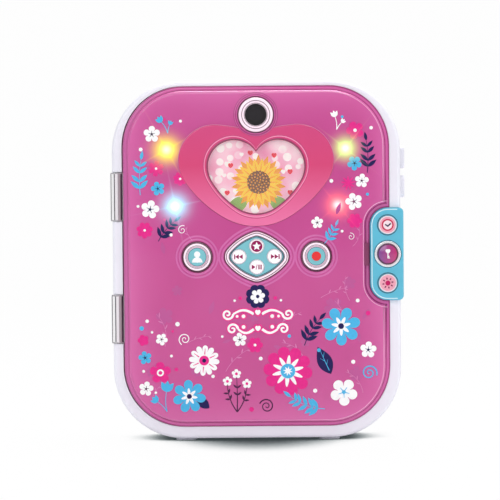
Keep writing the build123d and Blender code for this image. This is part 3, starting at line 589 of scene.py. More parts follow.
def pink_plastic_with_painted_light(name, hex_colour, edge_highlight_hex, lights):
    """Tinted translucent styrene: deep pink, very glossy, with a painted glow at its lamps.

    The panel is painted a little lighter towards its edges, a painted highlight where it curves
    into the light.
    """
    values = {
        "Roughness": 0.2,
        "IOR": 1.56,
        "Coat Weight": 0.6,
        "Coat Roughness": 0.04,
        "Subsurface Weight": 0.15,
        "Subsurface Radius": (0.004, 0.0012, 0.0025),
        "Subsurface Scale": 1.0,
    }
    finish = Finish(name, values)
    add = finish.add
    low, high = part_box("door_shell")
    middle = box_middle("door_shell")
    half = (Vector(high) - Vector(low)) / 2
    span = {
        "Location": (-middle.x / half.x, 0, -middle.z / half.z),
        "Scale": (1 / half.x, 0, 1 / half.z),
    }
    shares = add("Mapping", span, {"Vector": finish.place})
    parts = add("SeparateXYZ", None, {"Vector": shares})
    # Painted highlight: a high even power keeps the lighter colour to the edges.
    sides = []
    for axis in ("X", "Z"):
        size = add("Math", None, {0: (parts, axis)}, operation="ABSOLUTE")
        sides.append(add("Math", {1: 9.0}, {0: size}, operation="POWER"))
    edge_highlight_share = add("Math", None, {0: sides[0], 1: sides[1]}, operation="ADD")
    drift = add("TexNoise", {"Scale": 1 / (45 * MM), "Detail": 1.0}, {"Vector": finish.place})
    share = add("Math", {1: 0.35}, {0: drift, 2: edge_highlight_share}, operation="MULTIPLY_ADD")
    stops = ((0.1, linear(hex_colour)), (0.9, linear(edge_highlight_hex)))
    finish.paint_lamp_glow(add("ValToRGB", None, {"Fac": share}, stops), lights)
    return finish.grain(9.0, 0.05, 0.12)


def ridged(material, direction, pitch_mm, strength):
    """Fine straight ridges over a material, in one direction, such as the edges of many sheets."""
    tree = material.node_tree
    place = (tree.nodes["Texture Coordinate"], "Object")
    # A wave repeats at 0.314 of its unit.
    scale = {"Scale": 0.314 / (pitch_mm * MM)}
    waves = add_node(tree, "TexWave", scale, {"Vector": place}, bands_direction=direction)
    depth = {"Strength": strength, "Distance": 0.1 * MM}
    bump = add_node(tree, "Bump", depth, {"Height": (waves, "Fac")})
    join(tree.nodes["Principled BSDF"], {"Normal": bump})
    return material


def dress(material, *nodes):
    """Give CAD nodes that keep their shape a finished material."""
    for node in nodes:
        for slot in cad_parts[node].material_slots:
            slot.material = material


# What a user would change -----------------------------------------------------------------------


def colour_property(name, description, hex_colour):
    return bpy.props.StringProperty(name=name, description=description, default=hex_colour)


def size_property(name, description, default, **kind):
    return bpy.props.FloatProperty(name=name, description=description, default=default, **kind)


class DiaryColours(bpy.types.PropertyGroup):
    """The colours of the diary's plastics and inks, as #rrggbb."""

    shell: colour_property("Shell", "White moulded case", "#F2F1FA")
    door: colour_property("Door", "Translucent pink door", "#C63B8D")
    # Painted highlight: the lighter pink the door is painted towards its edges.
    door_edge: colour_property("Door edge", "The door where it curves into the light", "#DA60A8")
    heart: colour_property("Heart", "Heart frame round the window", "#DA3874")
    lock: colour_property("Lock panel", "Moulded lock panel", "#5ABDD8")
    teal: colour_property("Teal", "Keypad plate and round buttons", "#7AC5CF")
    sky: colour_property("Sky ink", "Light blue ink of the flowers", "#4DB8E8")
    navy: colour_property("Navy ink", "Dark ink of the leaves", "#1B1454")
    rose: colour_property("Rose ink", "Strong pink ink of the flowers", "#E8288C")
    white: colour_property("White ink", "White ink of the flowers", "#FFFFFF")


class DiarySizes(bpy.types.PropertyGroup):
    """Sizes of the looks. The frame sets every other size."""

    ink: size_property("Ink", "Thickness of one layer of ink", 0.00006, unit="LENGTH")
    camera_distance: size_property(
        "Camera distance", "From the camera to the diary's front", 1.3, unit="LENGTH"
    )
    view_width: size_property(
        "View width", "Width of the picture at the diary's front", 0.3127, unit="LENGTH"
    )
    camera_pitch: size_property(
        "Camera pitch", "How far the camera looks down", math.radians(2.2), subtype="ANGLE"
    )
    camera_roll: size_property(
        "Camera roll", "How far the camera leans to its right", math.radians(-0.45), subtype="ANGLE"
    )


class Piece(bpy.types.Operator):
    """What every operator of the diary shares"""

    bl_options = {"REGISTER", "UNDO"}

    def execute(self, context):
        self.build(context.scene.diary_colours, context.scene.diary_sizes)
        return {"FINISHED"}


# Stage ------------------------------------------------------------------------------------------


class DIARY_OT_stage(Piece):
    """Make the floor, the world, the lamps and the camera"""

    bl_idname = "diary.stage"
    bl_label = "Stage"

    # Where the camera looks, in millimetres from the middle of the diary's foot.
    aim_x = -5.4
    aim_z = 120.2
    # Name, place, size and power of each lamp.
    lamps = (
        ("front_softbox", (-0.5, -1.5, 0.85), (1.2, 1.0), 7.2),
        ("top_softbox", (0.15, 0.2, 1.2), (0.9, 0.5), 9.0),
        ("right_strip", (1.1, -0.75, 0.35), (0.3, 1.1), 2.5),
    )

    def build(self, colours, sizes):
        scene = bpy.context.scene
        scene.view_settings.view_transform = "Standard"
        self.make_floor()
        self.make_world(scene)
        aim = Vector((self.aim_x * MM, face_depth("door_shell"), self.aim_z * MM))
        for name, place, size, power in self.lamps:
            self.make_lamp(name, Vector(place), size, power, aim)
        self.make_camera(scene, sizes, aim)

    def make_floor(self):
        """A sweep of paper that bends up behind the diary."""
        reach = 3.0
        bend_start = 1.0
        bend_radius = 1.2
        path = [(-reach, 0.0), *arc(bend_start, bend_radius, bend_radius, -90, 0, 12)]
        path.append((path[-1][0], reach))
        verts = [(side * reach, y, z) for y, z in path for side in (-1, 1)]
        faces = [(2 * row, 2 * row + 1, 2 * row + 3, 2 * row + 2) for row in range(len(path) - 1)]
        mesh = bpy.data.meshes.new("floor")
        mesh.from_pydata(verts, [], faces)
        mesh.shade_smooth()
        mesh.materials.append(self.sweep_paper())
        floor = bpy.data.objects.new("floor", mesh)
        bpy.context.scene.collection.objects.link(floor)

    def sweep_paper(self):
        """Matt white paper, evenly white, with the diary's shadow painted on it."""
        finish = Finish("white_paper_sweep", {"Roughness": 0.6})
        add = finish.add
        finish.mottle("#F1F1F4", 0.01, 60)
        # Painted shadow: under the diary the sweep is darkened by its ambient occlusion, and past
        # an ellipse round the diary it fades to white.
        sky = add("AmbientOcclusion", {"Distance": 0.14}, samples=8), "AO"
        ellipse = {"Scale": (1 / 0.08, 1 / 0.13, 0)}
        spread = add("Mapping", ellipse, {"Vector": finish.place})
        away = add("VectorMath", None, {0: spread}, operation="LENGTH"), "Value"
        fade = {"From Min": 0.15, "From Max": 1.0, "To Max": 0.5}
        painted_shadow_fade = add("MapRange", fade, {"Value": away}, interpolation_type="SMOOTHSTEP")
        lit = add("Math", None, {0: sky, 1: painted_shadow_fade}, operation="ADD")
        # Shades of the painted shadow, from darkest under the diary to white.
        shades = ((0.5, "#3A4244"), (0.66, "#8A9294"), (0.82, "#D9DCDD"), (0.95, "#FFFFFF"))
        stops = [(place, linear(shade)) for place, shade in shades]
        ramp = add("ValToRGB", None, {"Fac": lit}, stops)
        # Camera rays see the painted shadow given off as light, over a little of the real shading.
        white = add("Emission", {"Strength": 1.0}, {"Color": ramp})
        seen = seen_by(finish.tree, "Is Camera Ray", "Is Glossy Ray", "Is Transmission Ray")
        share = add("Math", {1: 0.97}, {0: seen}, operation="MULTIPLY")
        mixed = add("MixShader", None, {0: share, 1: finish.shader, 2: white})
        join(finish.tree.nodes["Material Output"], {"Surface": mixed})
        return finish.material

    def make_world(self, scene):
        """An even white room, dimmer as a light than as a backdrop."""
        scene.world = bpy.data.worlds.new("studio")
        scene.world.use_nodes = True
        tree = scene.world.node_tree
        background = tree.nodes["Background"]
        background.inputs["Color"].default_value = (1, 1, 1, 1)
        seen = seen_by(tree, "Is Camera Ray", "Is Transmission Ray")
        span = {"To Min": 0.57, "To Max": 1.0}
        join(background, {"Strength": add_node(tree, "MapRange", span, {"Value": seen})})

    def make_lamp(self, name, place, size, power, aim):
        lamp = bpy.data.lights.new(name, "AREA")
        lamp.shape = "RECTANGLE"
        lamp.size, lamp.size_y = size
        lamp.energy = power
        holder = bpy.data.objects.new(name, lamp)
        holder.location = place
        holder.rotation_euler = (aim - place).to_track_quat("-Z", "Y").to_euler()
        bpy.context.scene.collection.objects.link(holder)

    def make_camera(self, scene, sizes, aim):
        lens = bpy.data.cameras.new("camera")
        lens.sensor_width = 36
        lens.lens = lens.sensor_width * sizes.camera_distance / sizes.view_width
        lens.clip_end = 50
        camera = bpy.data.objects.new("camera", lens)
        pitch = sizes.camera_pitch
        back = Vector((0, -math.cos(pitch), math.sin(pitch)))
        camera.location = aim + back * sizes.camera_distance
        camera.rotation_euler = (-back).to_track_quat("-Z", "Y").to_euler()
        camera.rotation_euler.rotate_axis("Z", sizes.camera_roll)
        scene.collection.objects.link(camera)
        scene.camera = camera


def seen_by(tree, first, *others):
    """Is 1 for any of these kinds of ray, and 0 for the rest."""
    path = add_node(tree, "LightPath")
    seen = (path, first)
    for other in others:
        seen = add_node(tree, "Math", None, {0: seen, 1: (path, other)}, operation="MAXIMUM")
    return seen


# Case -------------------------------------------------------------------------------------------


class DIARY_OT_case(Piece):
    """Finish the white case, its feet, its side buttons and its screws"""

    bl_idname = "diary.case"
    bl_label = "Case"

    def build(self, colours, sizes):
        shell = moulded_plastic("shell_abs", colours.shell, roughness=0.28, coat=0.2, shift=0.012)
        dress(shell, "front_frame", "rear_shell", "volume_up_button", "volume_down_button")
        # Soft TPE: matt and slightly grey.
        dress(moulded_plastic("foot_tpe", "#DEDDE6", roughness=0.7), "feet")
        # Zinc-plated steel: bright, a little blue-grey.
        zinc = metal("zinc_plated_steel", "#B9BCC2", 0.32)
        dress(zinc, "case_screws", "cover_screws", "clip_screws", "board_screws", "hinge_pins")
        # Nickel-plated spring steel: brighter and a little yellow.
        dress(metal("nickel_plate", "#C9C4B6", 0.22), "battery_contacts")
        self.draw_seam()

    def draw_seam(self):
        """The fine line where the halves of the case meet, a little greyer than the plastic."""
        seam = moulded_plastic("case_seam", "#B4B0C0", roughness=0.5)
        outline = front_outline("rear_shell")
        middle = face_depth("rear_shell")
        # How far each rail stands out of the side, and how far it lies behind the seam.
        section = ((-0.05, -0.17), (0.02, -0.13), (0.02, 0.13), (-0.05, 0.17))
        rails = [(grown(outline, reach), middle + offset * MM) for reach, offset in section]
        band("case_seam", rails, seam, "case", "white_shell")


# Door -------------------------------------------------------------------------------------------

PANEL_PROUD = 4.2
RIM_PROUD = 0.6
RIM_WIDTH = 2.5
DOOR_CORNER = 37.6
DOOR_GAP = 0.5
LOCK_CORNER = 11.0
MOULDING_RISE = 1.0

# Ghost flowers as (x, z, radius), and leaves and stems as (x, z, angle, length).
GHOST_FLOWERS = (
    (-58, 79, 5.5), (48, 84, 6.5), (20, 47, 5.0), (-38, 45, 4.2), (62, 42, 5.0), (-67, 44, 3.0),
    (-2, 78, 3.2), (30, 62, 3.0), (-50, 95, 3.5), (58, 99, 4.0), (-40, 190, 3.0), (34, 192, 2.6),
)
GHOST_LEAVES = (
    (-30, 80, 70, 9), (40, 70, 20, 10), (64, 62, 100, 9), (-64, 62, 60, 8), (10, 60, -20, 7),
    (60, 28, 150, 9), (-22, 62, 20, 6), (50, 142, 70, 8), (-58, 118, 100, 8), (66, 76, 60, 8),
)
GHOST_STEMS = (
    (-20, 44, 60, 22), (30, 50, 110, 20), (52, 66, 60, 24), (-58, 60, 75, 22), (12, 72, 40, 18),
    (66, 30, 100, 18), (-44, 62, 30, 16), (40, 90, 30, 18), (-66, 28, 70, 14), (58, 88, 120, 16),
    (-40, 126, 130, 16), (60, 122, 40, 16),
)


def panel_depth():
    """The place along Y of the door's flat front, behind the rings moulded round the camera."""
    return face_depth("door_shell") + MOULDING_RISE * MM


def door_outline(inset):
    """The door's edge from the front, inset by so much, with its notch for the lock panel."""
    left, right, bottom, top = edges_of("door_shell")
    left, right, bottom, top = left + inset, right - inset, bottom + inset, top - inset
    grow = DOOR_GAP + inset
    mouth_left, _, mouth_bottom, mouth_top = edges_of("lock_panel")
    mouth_left, mouth_bottom, mouth_top = mouth_left - grow, mouth_bottom - grow, mouth_top + grow
    corner = DOOR_CORNER - inset
    notch = LOCK_CORNER + grow
    steps = 16
    return [
        *arc(right - corner, top - corner, corner, 90, 0, steps),
        (right, mouth_top),
        *arc(mouth_left + notch, mouth_top - notch, notch, 90, 180, steps),
        *arc(mouth_left + notch, mouth_bottom + notch, notch, 180, 270, steps),
        (right, mouth_bottom),
        *arc(right - corner, bottom + corner, corner, 0, -90, steps),
        *arc(left + corner, bottom + corner, corner, -90, -180, steps),
        *arc(left + corner, top - corner, corner, 180, 90, steps),
    ]


def painted_lamp_glows():
    """The painted glows of the lamps behind the door, each with its spot and the colour, radius and
    turn of its glow.
    """
    pipe_radius = 2.9
    left, right, _, top = edges_of("light_pipes")
    left, right, top = left + pipe_radius, right - pipe_radius, top - pipe_radius
    inner = 5.1
    drop = 35.4
    return (
        ((left, top), "#FFE62E", 8.8, 0.5),
        ((right, top), "#CFF283", 7.4, 0.9),
        ((left + inner, top - drop), "#A4E4FF", 8.8, 0.2),
        ((right - inner, top - drop), "#FF6C78", 8.4, 0.7),
    )


class DIARY_OT_door(Piece):
    """Finish the translucent pink door, its rim and its faint moulded tracery"""

    bl_idname = "diary.door"
    bl_label = "Door"

    def build(self, colours, sizes):
        lights = painted_lamp_glows()
        door = pink_plastic_with_painted_light("tinted_styrene", colours.door, colours.door_edge, lights)
        dress(door, "door_shell")
        # Zinc die casting of the strike: greyer than plate, with a soft gloss.
        dress(metal("zinc_casting", "#A9A7AE", 0.4), "door_strike")
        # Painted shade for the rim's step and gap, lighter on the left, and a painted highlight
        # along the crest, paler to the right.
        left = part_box("door_shell")[0][0] / MM
        deep = two_tone("tinted_styrene_painted_shade", "X", left + 3, left + 26, "#C865A3", "#A43078")
        pale = two_tone("tinted_styrene_crest_highlight", "X", left + 4, left + 150, "#D562A8", "#EFA0CE")
        middle = two_tone("tinted_styrene_rim", "X", left + 3, left + 26, "#D667AF", "#DA5FAC")
        self.draw_rim(deep, middle, pale)
        self.draw_rings(deep)
        self.draw_tracery()

    def draw_rim(self, deep, middle, pale):
        """The rim: painted shade at the foot of the step and over the gap at the door's edge, a
        band of the rim's pink, and a painted highlight along the panel's crest.
        """
        rim_depth = panel_depth() + (PANEL_PROUD - RIM_PROUD) * MM
        for name, start, end, depth, height, material in (
            ("door_rim_shade", RIM_WIDTH - 0.55, RIM_WIDTH, rim_depth, 0.12, deep),
            ("door_rim_band", 0.5, RIM_WIDTH - 0.7, rim_depth, 0.07, middle),
            ("door_gap_shade", -0.4, 0.4, rim_depth, 0.08, deep),
            ("door_crest_highlight", RIM_WIDTH + 0.95, RIM_WIDTH + 1.45, panel_depth(), 0.05, pale),
        ):

            def outline_at(grow, inset=(start + end) / 2):
                return door_outline(inset - grow)

            raised_line(name, outline_at, depth, end - start, height, material, *ON_DOOR)
        # The tab that the strike hangs from, seen through the door.
        tab_middle = edges_of("lock_panel")[0] - 2.3
        tab = rounded_rectangle(tab_middle, spot_of("door_strike")[1], 2.6, 14.4, 0.4)
        dark = moulded_plastic("tinted_styrene_tab", "#7C1F57", roughness=0.2, coat=0.5)
        thickness = PANEL_PROUD - RIM_PROUD - 0.3
        inlay("door_catch_tab", [tab], rim_depth, thickness, dark, *ON_DOOR, 0.05)

    def draw_rings(self, deep):
        """The fine moulded steps round the camera, the keypad and the round buttons, with painted
        highlights and painted shade on them.
        """
        # Paler rings: painted highlights on the moulded steps.
        soft = moulded_plastic("tinted_styrene_ripple_highlight", "#D260A8", roughness=0.2, coat=0.5)
        # Painted shade in the gaps round the holes for the keypad and the round buttons.
        shadow = moulded_plastic("tinted_styrene_hole_shade", "#6A1549", roughness=0.3)
        step = MOULDING_RISE * MM / 2
        depth = panel_depth()
        for name, outer, inner, place, material in (
            ("camera_step_top", 12.1, 11.8, depth - 2 * step, soft),
            ("camera_step_shade", 12.75, 12.35, depth - step, deep),
            ("camera_step_low", 13.45, 13.1, depth - step, soft),
            ("camera_foot_shade", 13.85, 13.6, depth, deep),
        ):
            ring(name, spot_of("camera_ring"), outer, inner, place, material, *ON_DOOR)
        for node in ROUND_BUTTONS:
            spot = spot_of(node)
            ring(f"{node}_hole_edge", spot, 9.95, 9.35, depth, shadow, *ON_DOOR)
            for number, radius in ((1, 10.4), (2, 12.4)):
                name = f"{node}_ripple_{number}"
                ring(name, spot, radius + 1.1, radius, depth, soft, *ON_DOOR, 0.02)
        for name, reach, width, material in (
            ("keypad_hole_edge", 0.65, 0.7, shadow),
            ("keypad_ripple_1", 2.3, 1.2, soft),
            ("keypad_ripple_2", 4.4, 1.2, soft),
        ):
            outline_at = around("keypad_bezel", reach)
            raised_line(name, outline_at, depth, width, 0.03, material, *ON_DOOR)

    def draw_tracery(self):
        """Faint flowers and stems moulded into the inside of the door, seen through it."""
        shade = moulded_plastic("styrene_tracery", "#BF4A94", roughness=0.25, coat=0.5)
        thread = moulded_plastic("styrene_thread", "#D977B6", roughness=0.25, coat=0.5)
        generator = random.Random(4)
        ghosts = []
        for x, z, radius in GHOST_FLOWERS:
            shape = generator.choice((round_flower, notched_flower))
            ghosts.append(shape(x, z, radius, 5, generator.uniform(0, 2)))
        for x, z, angle, length in GHOST_LEAVES:
            ghosts.append(leaf(x, z, length, length * 0.34, angle))
        threads = []
        for x, z, angle, length in GHOST_STEMS:
            bend = generator.uniform(-90, 90)
            stem = curved_line(x, z, length, angle, bend)
            threads.append(stroke(stem, 0.32, 0.5))
            for place in (5, 8, 11, 14):
                way = 1 if place % 2 else -1
                heading = angle + bend * place / len(stem) + way * 40
                threads.append(leaf(*stem[place], length * 0.16, length * 0.035, heading))
        inlay("door_ghost_flowers", ghosts, panel_depth(), 0.02, shade, *ON_DOOR)
        inlay("door_ghost_stems", threads, panel_depth(), 0.04, thread, *ON_DOOR)


def around(node, reach):
    """A function that gives a node's front outline grown by a reach and by so much more."""
    outline = front_outline(node)
    return lambda grow: grown(outline, reach + grow)


# Heart and screen -------------------------------------------------------------------------------

HEART_NOTCH = 0.93
WINDOW_HALF_WIDTH = 30.1
WINDOW_HEIGHT = 45.7
WINDOW_RISE = 8.0
WINDOW_NOTCH = 0.84


class DIARY_OT_heart(Piece):
    """Finish the heart frame, the beads round its window and its clear lens"""

    bl_idname = "diary.heart"
    bl_label = "Heart"

    def build(self, colours, sizes):
        low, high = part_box("heart_bezel")
        stops = ((0.05, "#F070A6"), (0.6, colours.heart), (0.95, "#D63A7C"))
        span = (low[2], high[2])
        rose = toned_styrene("rose_styrene", "Z", *span, stops, 0.22, 0.5, (8.0, 0.04))
        dress(rose, "heart_bezel")
        # Optical acrylic with a coating against reflections, so the picture stays clear.
        values = {"Transmission Weight": 1.0, "Specular IOR Level": 0.1}
        dress(clear_plastic("screen_lens_acrylic", "#FFFFFF", 0.06, values), "screen_lens")
        self.draw_lines()

    def draw_lines(self):
        """The heart's edge, with painted shade low down and a painted highlight high up, and round
        its window a painted shade line in the recess, a bead with a painted highlight and a painted
        shade beside it.
        """
        # Painted shade and highlight: the edge line is darker low down and paler high up.
        dark = two_tone("rose_styrene_edge_shade_and_highlight", "Z", 150, 185, "#A03070", "#E27BB0")
        recess = moulded_plastic("rose_styrene_recess_shade", "#8C2A55", roughness=0.3, coat=0.3)
        bead = moulded_plastic("rose_styrene_bead_highlight", "#F592BC", roughness=0.2, coat=0.6)
        soft = moulded_plastic("rose_styrene_shade", "#C93C78", roughness=0.25, coat=0.4)
        depth = face_depth("heart_bezel")
        tip = edges_of("heart_bezel")[2]
        width, height = size_of("heart_bezel")
        edge = (width / 2, height, tip, HEART_NOTCH)
        window = (WINDOW_HALF_WIDTH, WINDOW_HEIGHT, tip + WINDOW_RISE, WINDOW_NOTCH)
        for name, shape, reach, width, place, rise, material in (
            ("heart_edge_line", edge, 0.15, 0.45, panel_depth(), 0.05, dark),
            ("heart_window_line", window, 0.55, 1.0, depth, 0.06, recess),
            ("heart_window_bead", window, 2.3, 0.55, depth, 0.12, bead),
            ("heart_window_shade", window, 3.0, 0.5, depth, 0.04, soft),
        ):

            def outline_at(grow, shape=shape, reach=reach):
                half_width, height, tip, notch = shape
                more = reach + grow
                return heart(half_width + more, height + 2 * more, tip - more, notch)

            raised_line(name, outline_at, place, width, rise, material, *ON_HEART)


class DIARY_OT_screen(Piece):
    """Show a soft picture of a sunflower on the screen behind the heart window"""

    bl_idname = "diary.screen"
    bl_label = "Screen"

    def build(self, colours, sizes):
        # Black ABS frame: dark, with a dull gloss.
        dress(moulded_plastic("black_abs", "#17161C", roughness=0.4), "screen_housing")
        # The painted metal frame of a glass-faced liquid crystal module.
        dress(moulded_plastic("lcd_frame", "#2A2A30", roughness=0.3), "screen_module")
        x, z = spot_of("screen_module")
        width, height = size_of("screen_module")
        depth = face_depth("screen_module")
        plate = [rounded_rectangle(x, z, width - 2, height - 2, 1.0)]
        inlay("screen_picture", plate, depth, 0.04, self.bokeh(), *ON_SCREEN)
        self.flower(x, z, depth)

    def bokeh(self):
        """The lit screen: out-of-focus discs of light on a pale pink ground."""
        values = {"Roughness": 0.12, "IOR": 1.5, "Emission Strength": 0.32}
        finish = Finish("lcd_bokeh", values)
        add = finish.add
        place = {"Vector": finish.place}
        cells = add("TexVoronoi", {"Scale": 1 / (7.0 * MM), "Randomness": 0.9}, place)
        edge = {"From Min": 0.34, "From Max": 0.4, "To Min": 1.0, "To Max": 0.0}
        discs = add("MapRange", edge, {"Value": (cells, "Distance")})
        tone = add("SeparateColor", None, {"Color": (cells, "Color")}), "Red"
        faint = add("Math", None, {0: discs, 1: tone}, operation="MULTIPLY")
        clouds = add("TexNoise", {"Scale": 1 / (16 * MM), "Detail": 1.5}, place)
        total = add("Math", {1: 0.55}, {0: faint, 2: clouds}, operation="MULTIPLY_ADD")
        shades = ((0.25, "#E27AA6"), (0.55, "#F6BCD0"), (0.95, "#FFF6F2"))
        stops = [(position, linear(shade)) for position, shade in shades]
        ramp = add("ValToRGB", None, {"Fac": total}, stops)
        join(finish.shader, {"Base Color": ramp, "Emission Color": ramp})
        return finish.material

    def flower(self, x, z, depth):
        """A sunflower, with hearts round it, as the picture on the screen."""
        middle = x + 1.5, z - 3.5
        petals = range(18)
        # Seeds follow the golden angle, as in the flower head.
        seeds = []
        for number in range(40):
            reach = 6.6 * math.sqrt((number + 0.5) / 40)
            seeds.append(circle(*out_from(*middle, reach, number * math.radians(137.5)), 0.5, 8))
        hearts = []
        for angle in (20, 62, 104, 146, 200, 340):
            across, up = out_from(0, 0, 1, math.radians(angle))
            hearts.append(heart_at(middle[0] + 21 * across, middle[1] + 19 * up, 1.5))
        pale = (
            (-18, 8, 1.6), (-20, 1, 1.2), (20, 12, 1.7),
            (17, 3, 1.3), (-13, -9, 1.4), (-9, 14, 1.2),
        )
        # Colours of the lit liquid crystal screen, which glow a little by themselves.
        inks = {
            name: moulded_plastic(f"lcd_{name}", tint, roughness=0.15, glow=0.28, shift=0.05)
            for name, tint in (
                ("yellow", "#FFC832"), ("amber", "#EC9A22"), ("brown", "#7A4A26"),
                ("green", "#8FB35A"), ("red", "#E2243C"), ("white", "#FFF4F0"),
            )
        }
        leaves = [
            leaf(middle[0] + 6 * way, middle[1] - 9, 20, 9, 270 + 55 * way) for way in (-1, 1)
        ]
        back = [leaf(*middle, 17.5, 5.6, 20 * n + 10) for n in petals]
        front = [leaf(*middle, 15.5, 4.8, 20 * n) for n in petals]
        veins = [stroke(spoke(*middle, 7, 13, math.radians(20 * n)), 0.9, 0.2) for n in petals]
        pale_hearts = [heart_at(x + px, z + pz, size) for px, pz, size in pale]
        for name, outlines, thickness, ink in (
            ("leaves", leaves, 0.06, "green"),
            ("petals_back", back, 0.08, "amber"),
            ("petals_front", front, 0.12, "yellow"),
            ("seeds", [scalloped(*middle, 7.4, 22, 0.08)], 0.18, "brown"),
            ("petal_veins", veins, 0.17, "amber"),
            ("seed_dots", seeds, 0.24, "amber"),
            ("hearts", hearts, 0.12, "red"),
            ("pale_hearts", pale_hearts, 0.1, "white"),
        ):
            inlay(f"screen_{name}", outlines, depth, thickness, inks[ink], *ON_SCREEN)


# Camera, buttons and lock -----------------------------------------------------------------------


class DIARY_OT_lens(Piece):
    """Finish the camera: a pearl ring, a dark glass window and a coated lens"""

    bl_idname = "diary.lens"
    bl_label = "Camera"

    def build(self, colours, sizes):
        pearl = pearl_lacquer("pearl_lacquer", "#FBE4F0")
        dress(pearl, "camera_ring", "button_bezels", "keypad_bezel")
        # Smoked acrylic with a coating against reflections: black until light falls through it.
        values = {
            "Base Color": linear("#5A525C"),
            "Roughness": 0.04,
            "Transmission Weight": 0.9,
            "Specular IOR Level": 0.15,
        }
        dress(Finish("smoked_acrylic", values).grain(4.0, 0.02), "camera_window")
        # Anodised black aluminium barrel: dark, with a dull gloss.
        dress(moulded_plastic("black_anodised_barrel", "#0C0B0E", roughness=0.35), "camera_barrel")
        # Glass with a violet coating.
        values = {
            "Base Color": linear("#120E1C"),
            "Roughness": 0.03,
            "Coat Weight": 1.0,
            "Coat Tint": linear("#9C7BE8"),
        }
        dress(Finish("coated_lens_glass", values).grain(3.0, 0.02), "camera_optics")
        dress(moulded_plastic("sensor_package", "#1B1A20", roughness=0.3), "camera_sensor")
        self.rings()

    def rings(self):
        """The fine grooves of the pearl ring, with painted shade in them, and the stepped ring that
        holds the small lens.
        """
        spot = spot_of("camera_ring")
        # Painted shade: dark lines where the grooves are.
        shade = moulded_plastic("ring_groove_shade", "#563A54", roughness=0.35)
        for name, outer, inner in (("groove", 8.95, 8.6), ("mouth", 7.35, 7.05)):
            depth = face_depth("camera_ring")
            ring(f"camera_{name}_line", spot, outer, inner, depth, shade, *ON_TRIM, 0.015)
        depth = face_depth("camera_window")
        matt = moulded_plastic("matt_black_ring", "#1A171D", roughness=0.5)
        back = depth + 2.4 * MM
        profile = [(6.4, depth + 1.3 * MM), (5.4, depth + 1.5 * MM), (5.4, back), (3.6, back)]
        lathe("camera_inner_ring", spot, profile, matt, "case", "black_plastic")
        # Polished coated glass: it shows small lights of the room.
        glass = moulded_plastic("small_lens_glass", "#1D1838", roughness=0.04, coat=1.0)
        lathe("camera_small_lens", spot, dome_profile(3.7, back, 0.9), glass, *ON_SCREEN)


def sign(node, name, outlines, ink, thickness=0.06, bevel=0.0):
    """A sign in the middle of a button, which moves with it."""
    x, z = spot_of(node)
    placed = [[(px + x, pz + z) for px, pz in outline] for outline in outlines]
    inlay(name, placed, face_depth(node), thickness, ink, node, "pink_button", bevel)


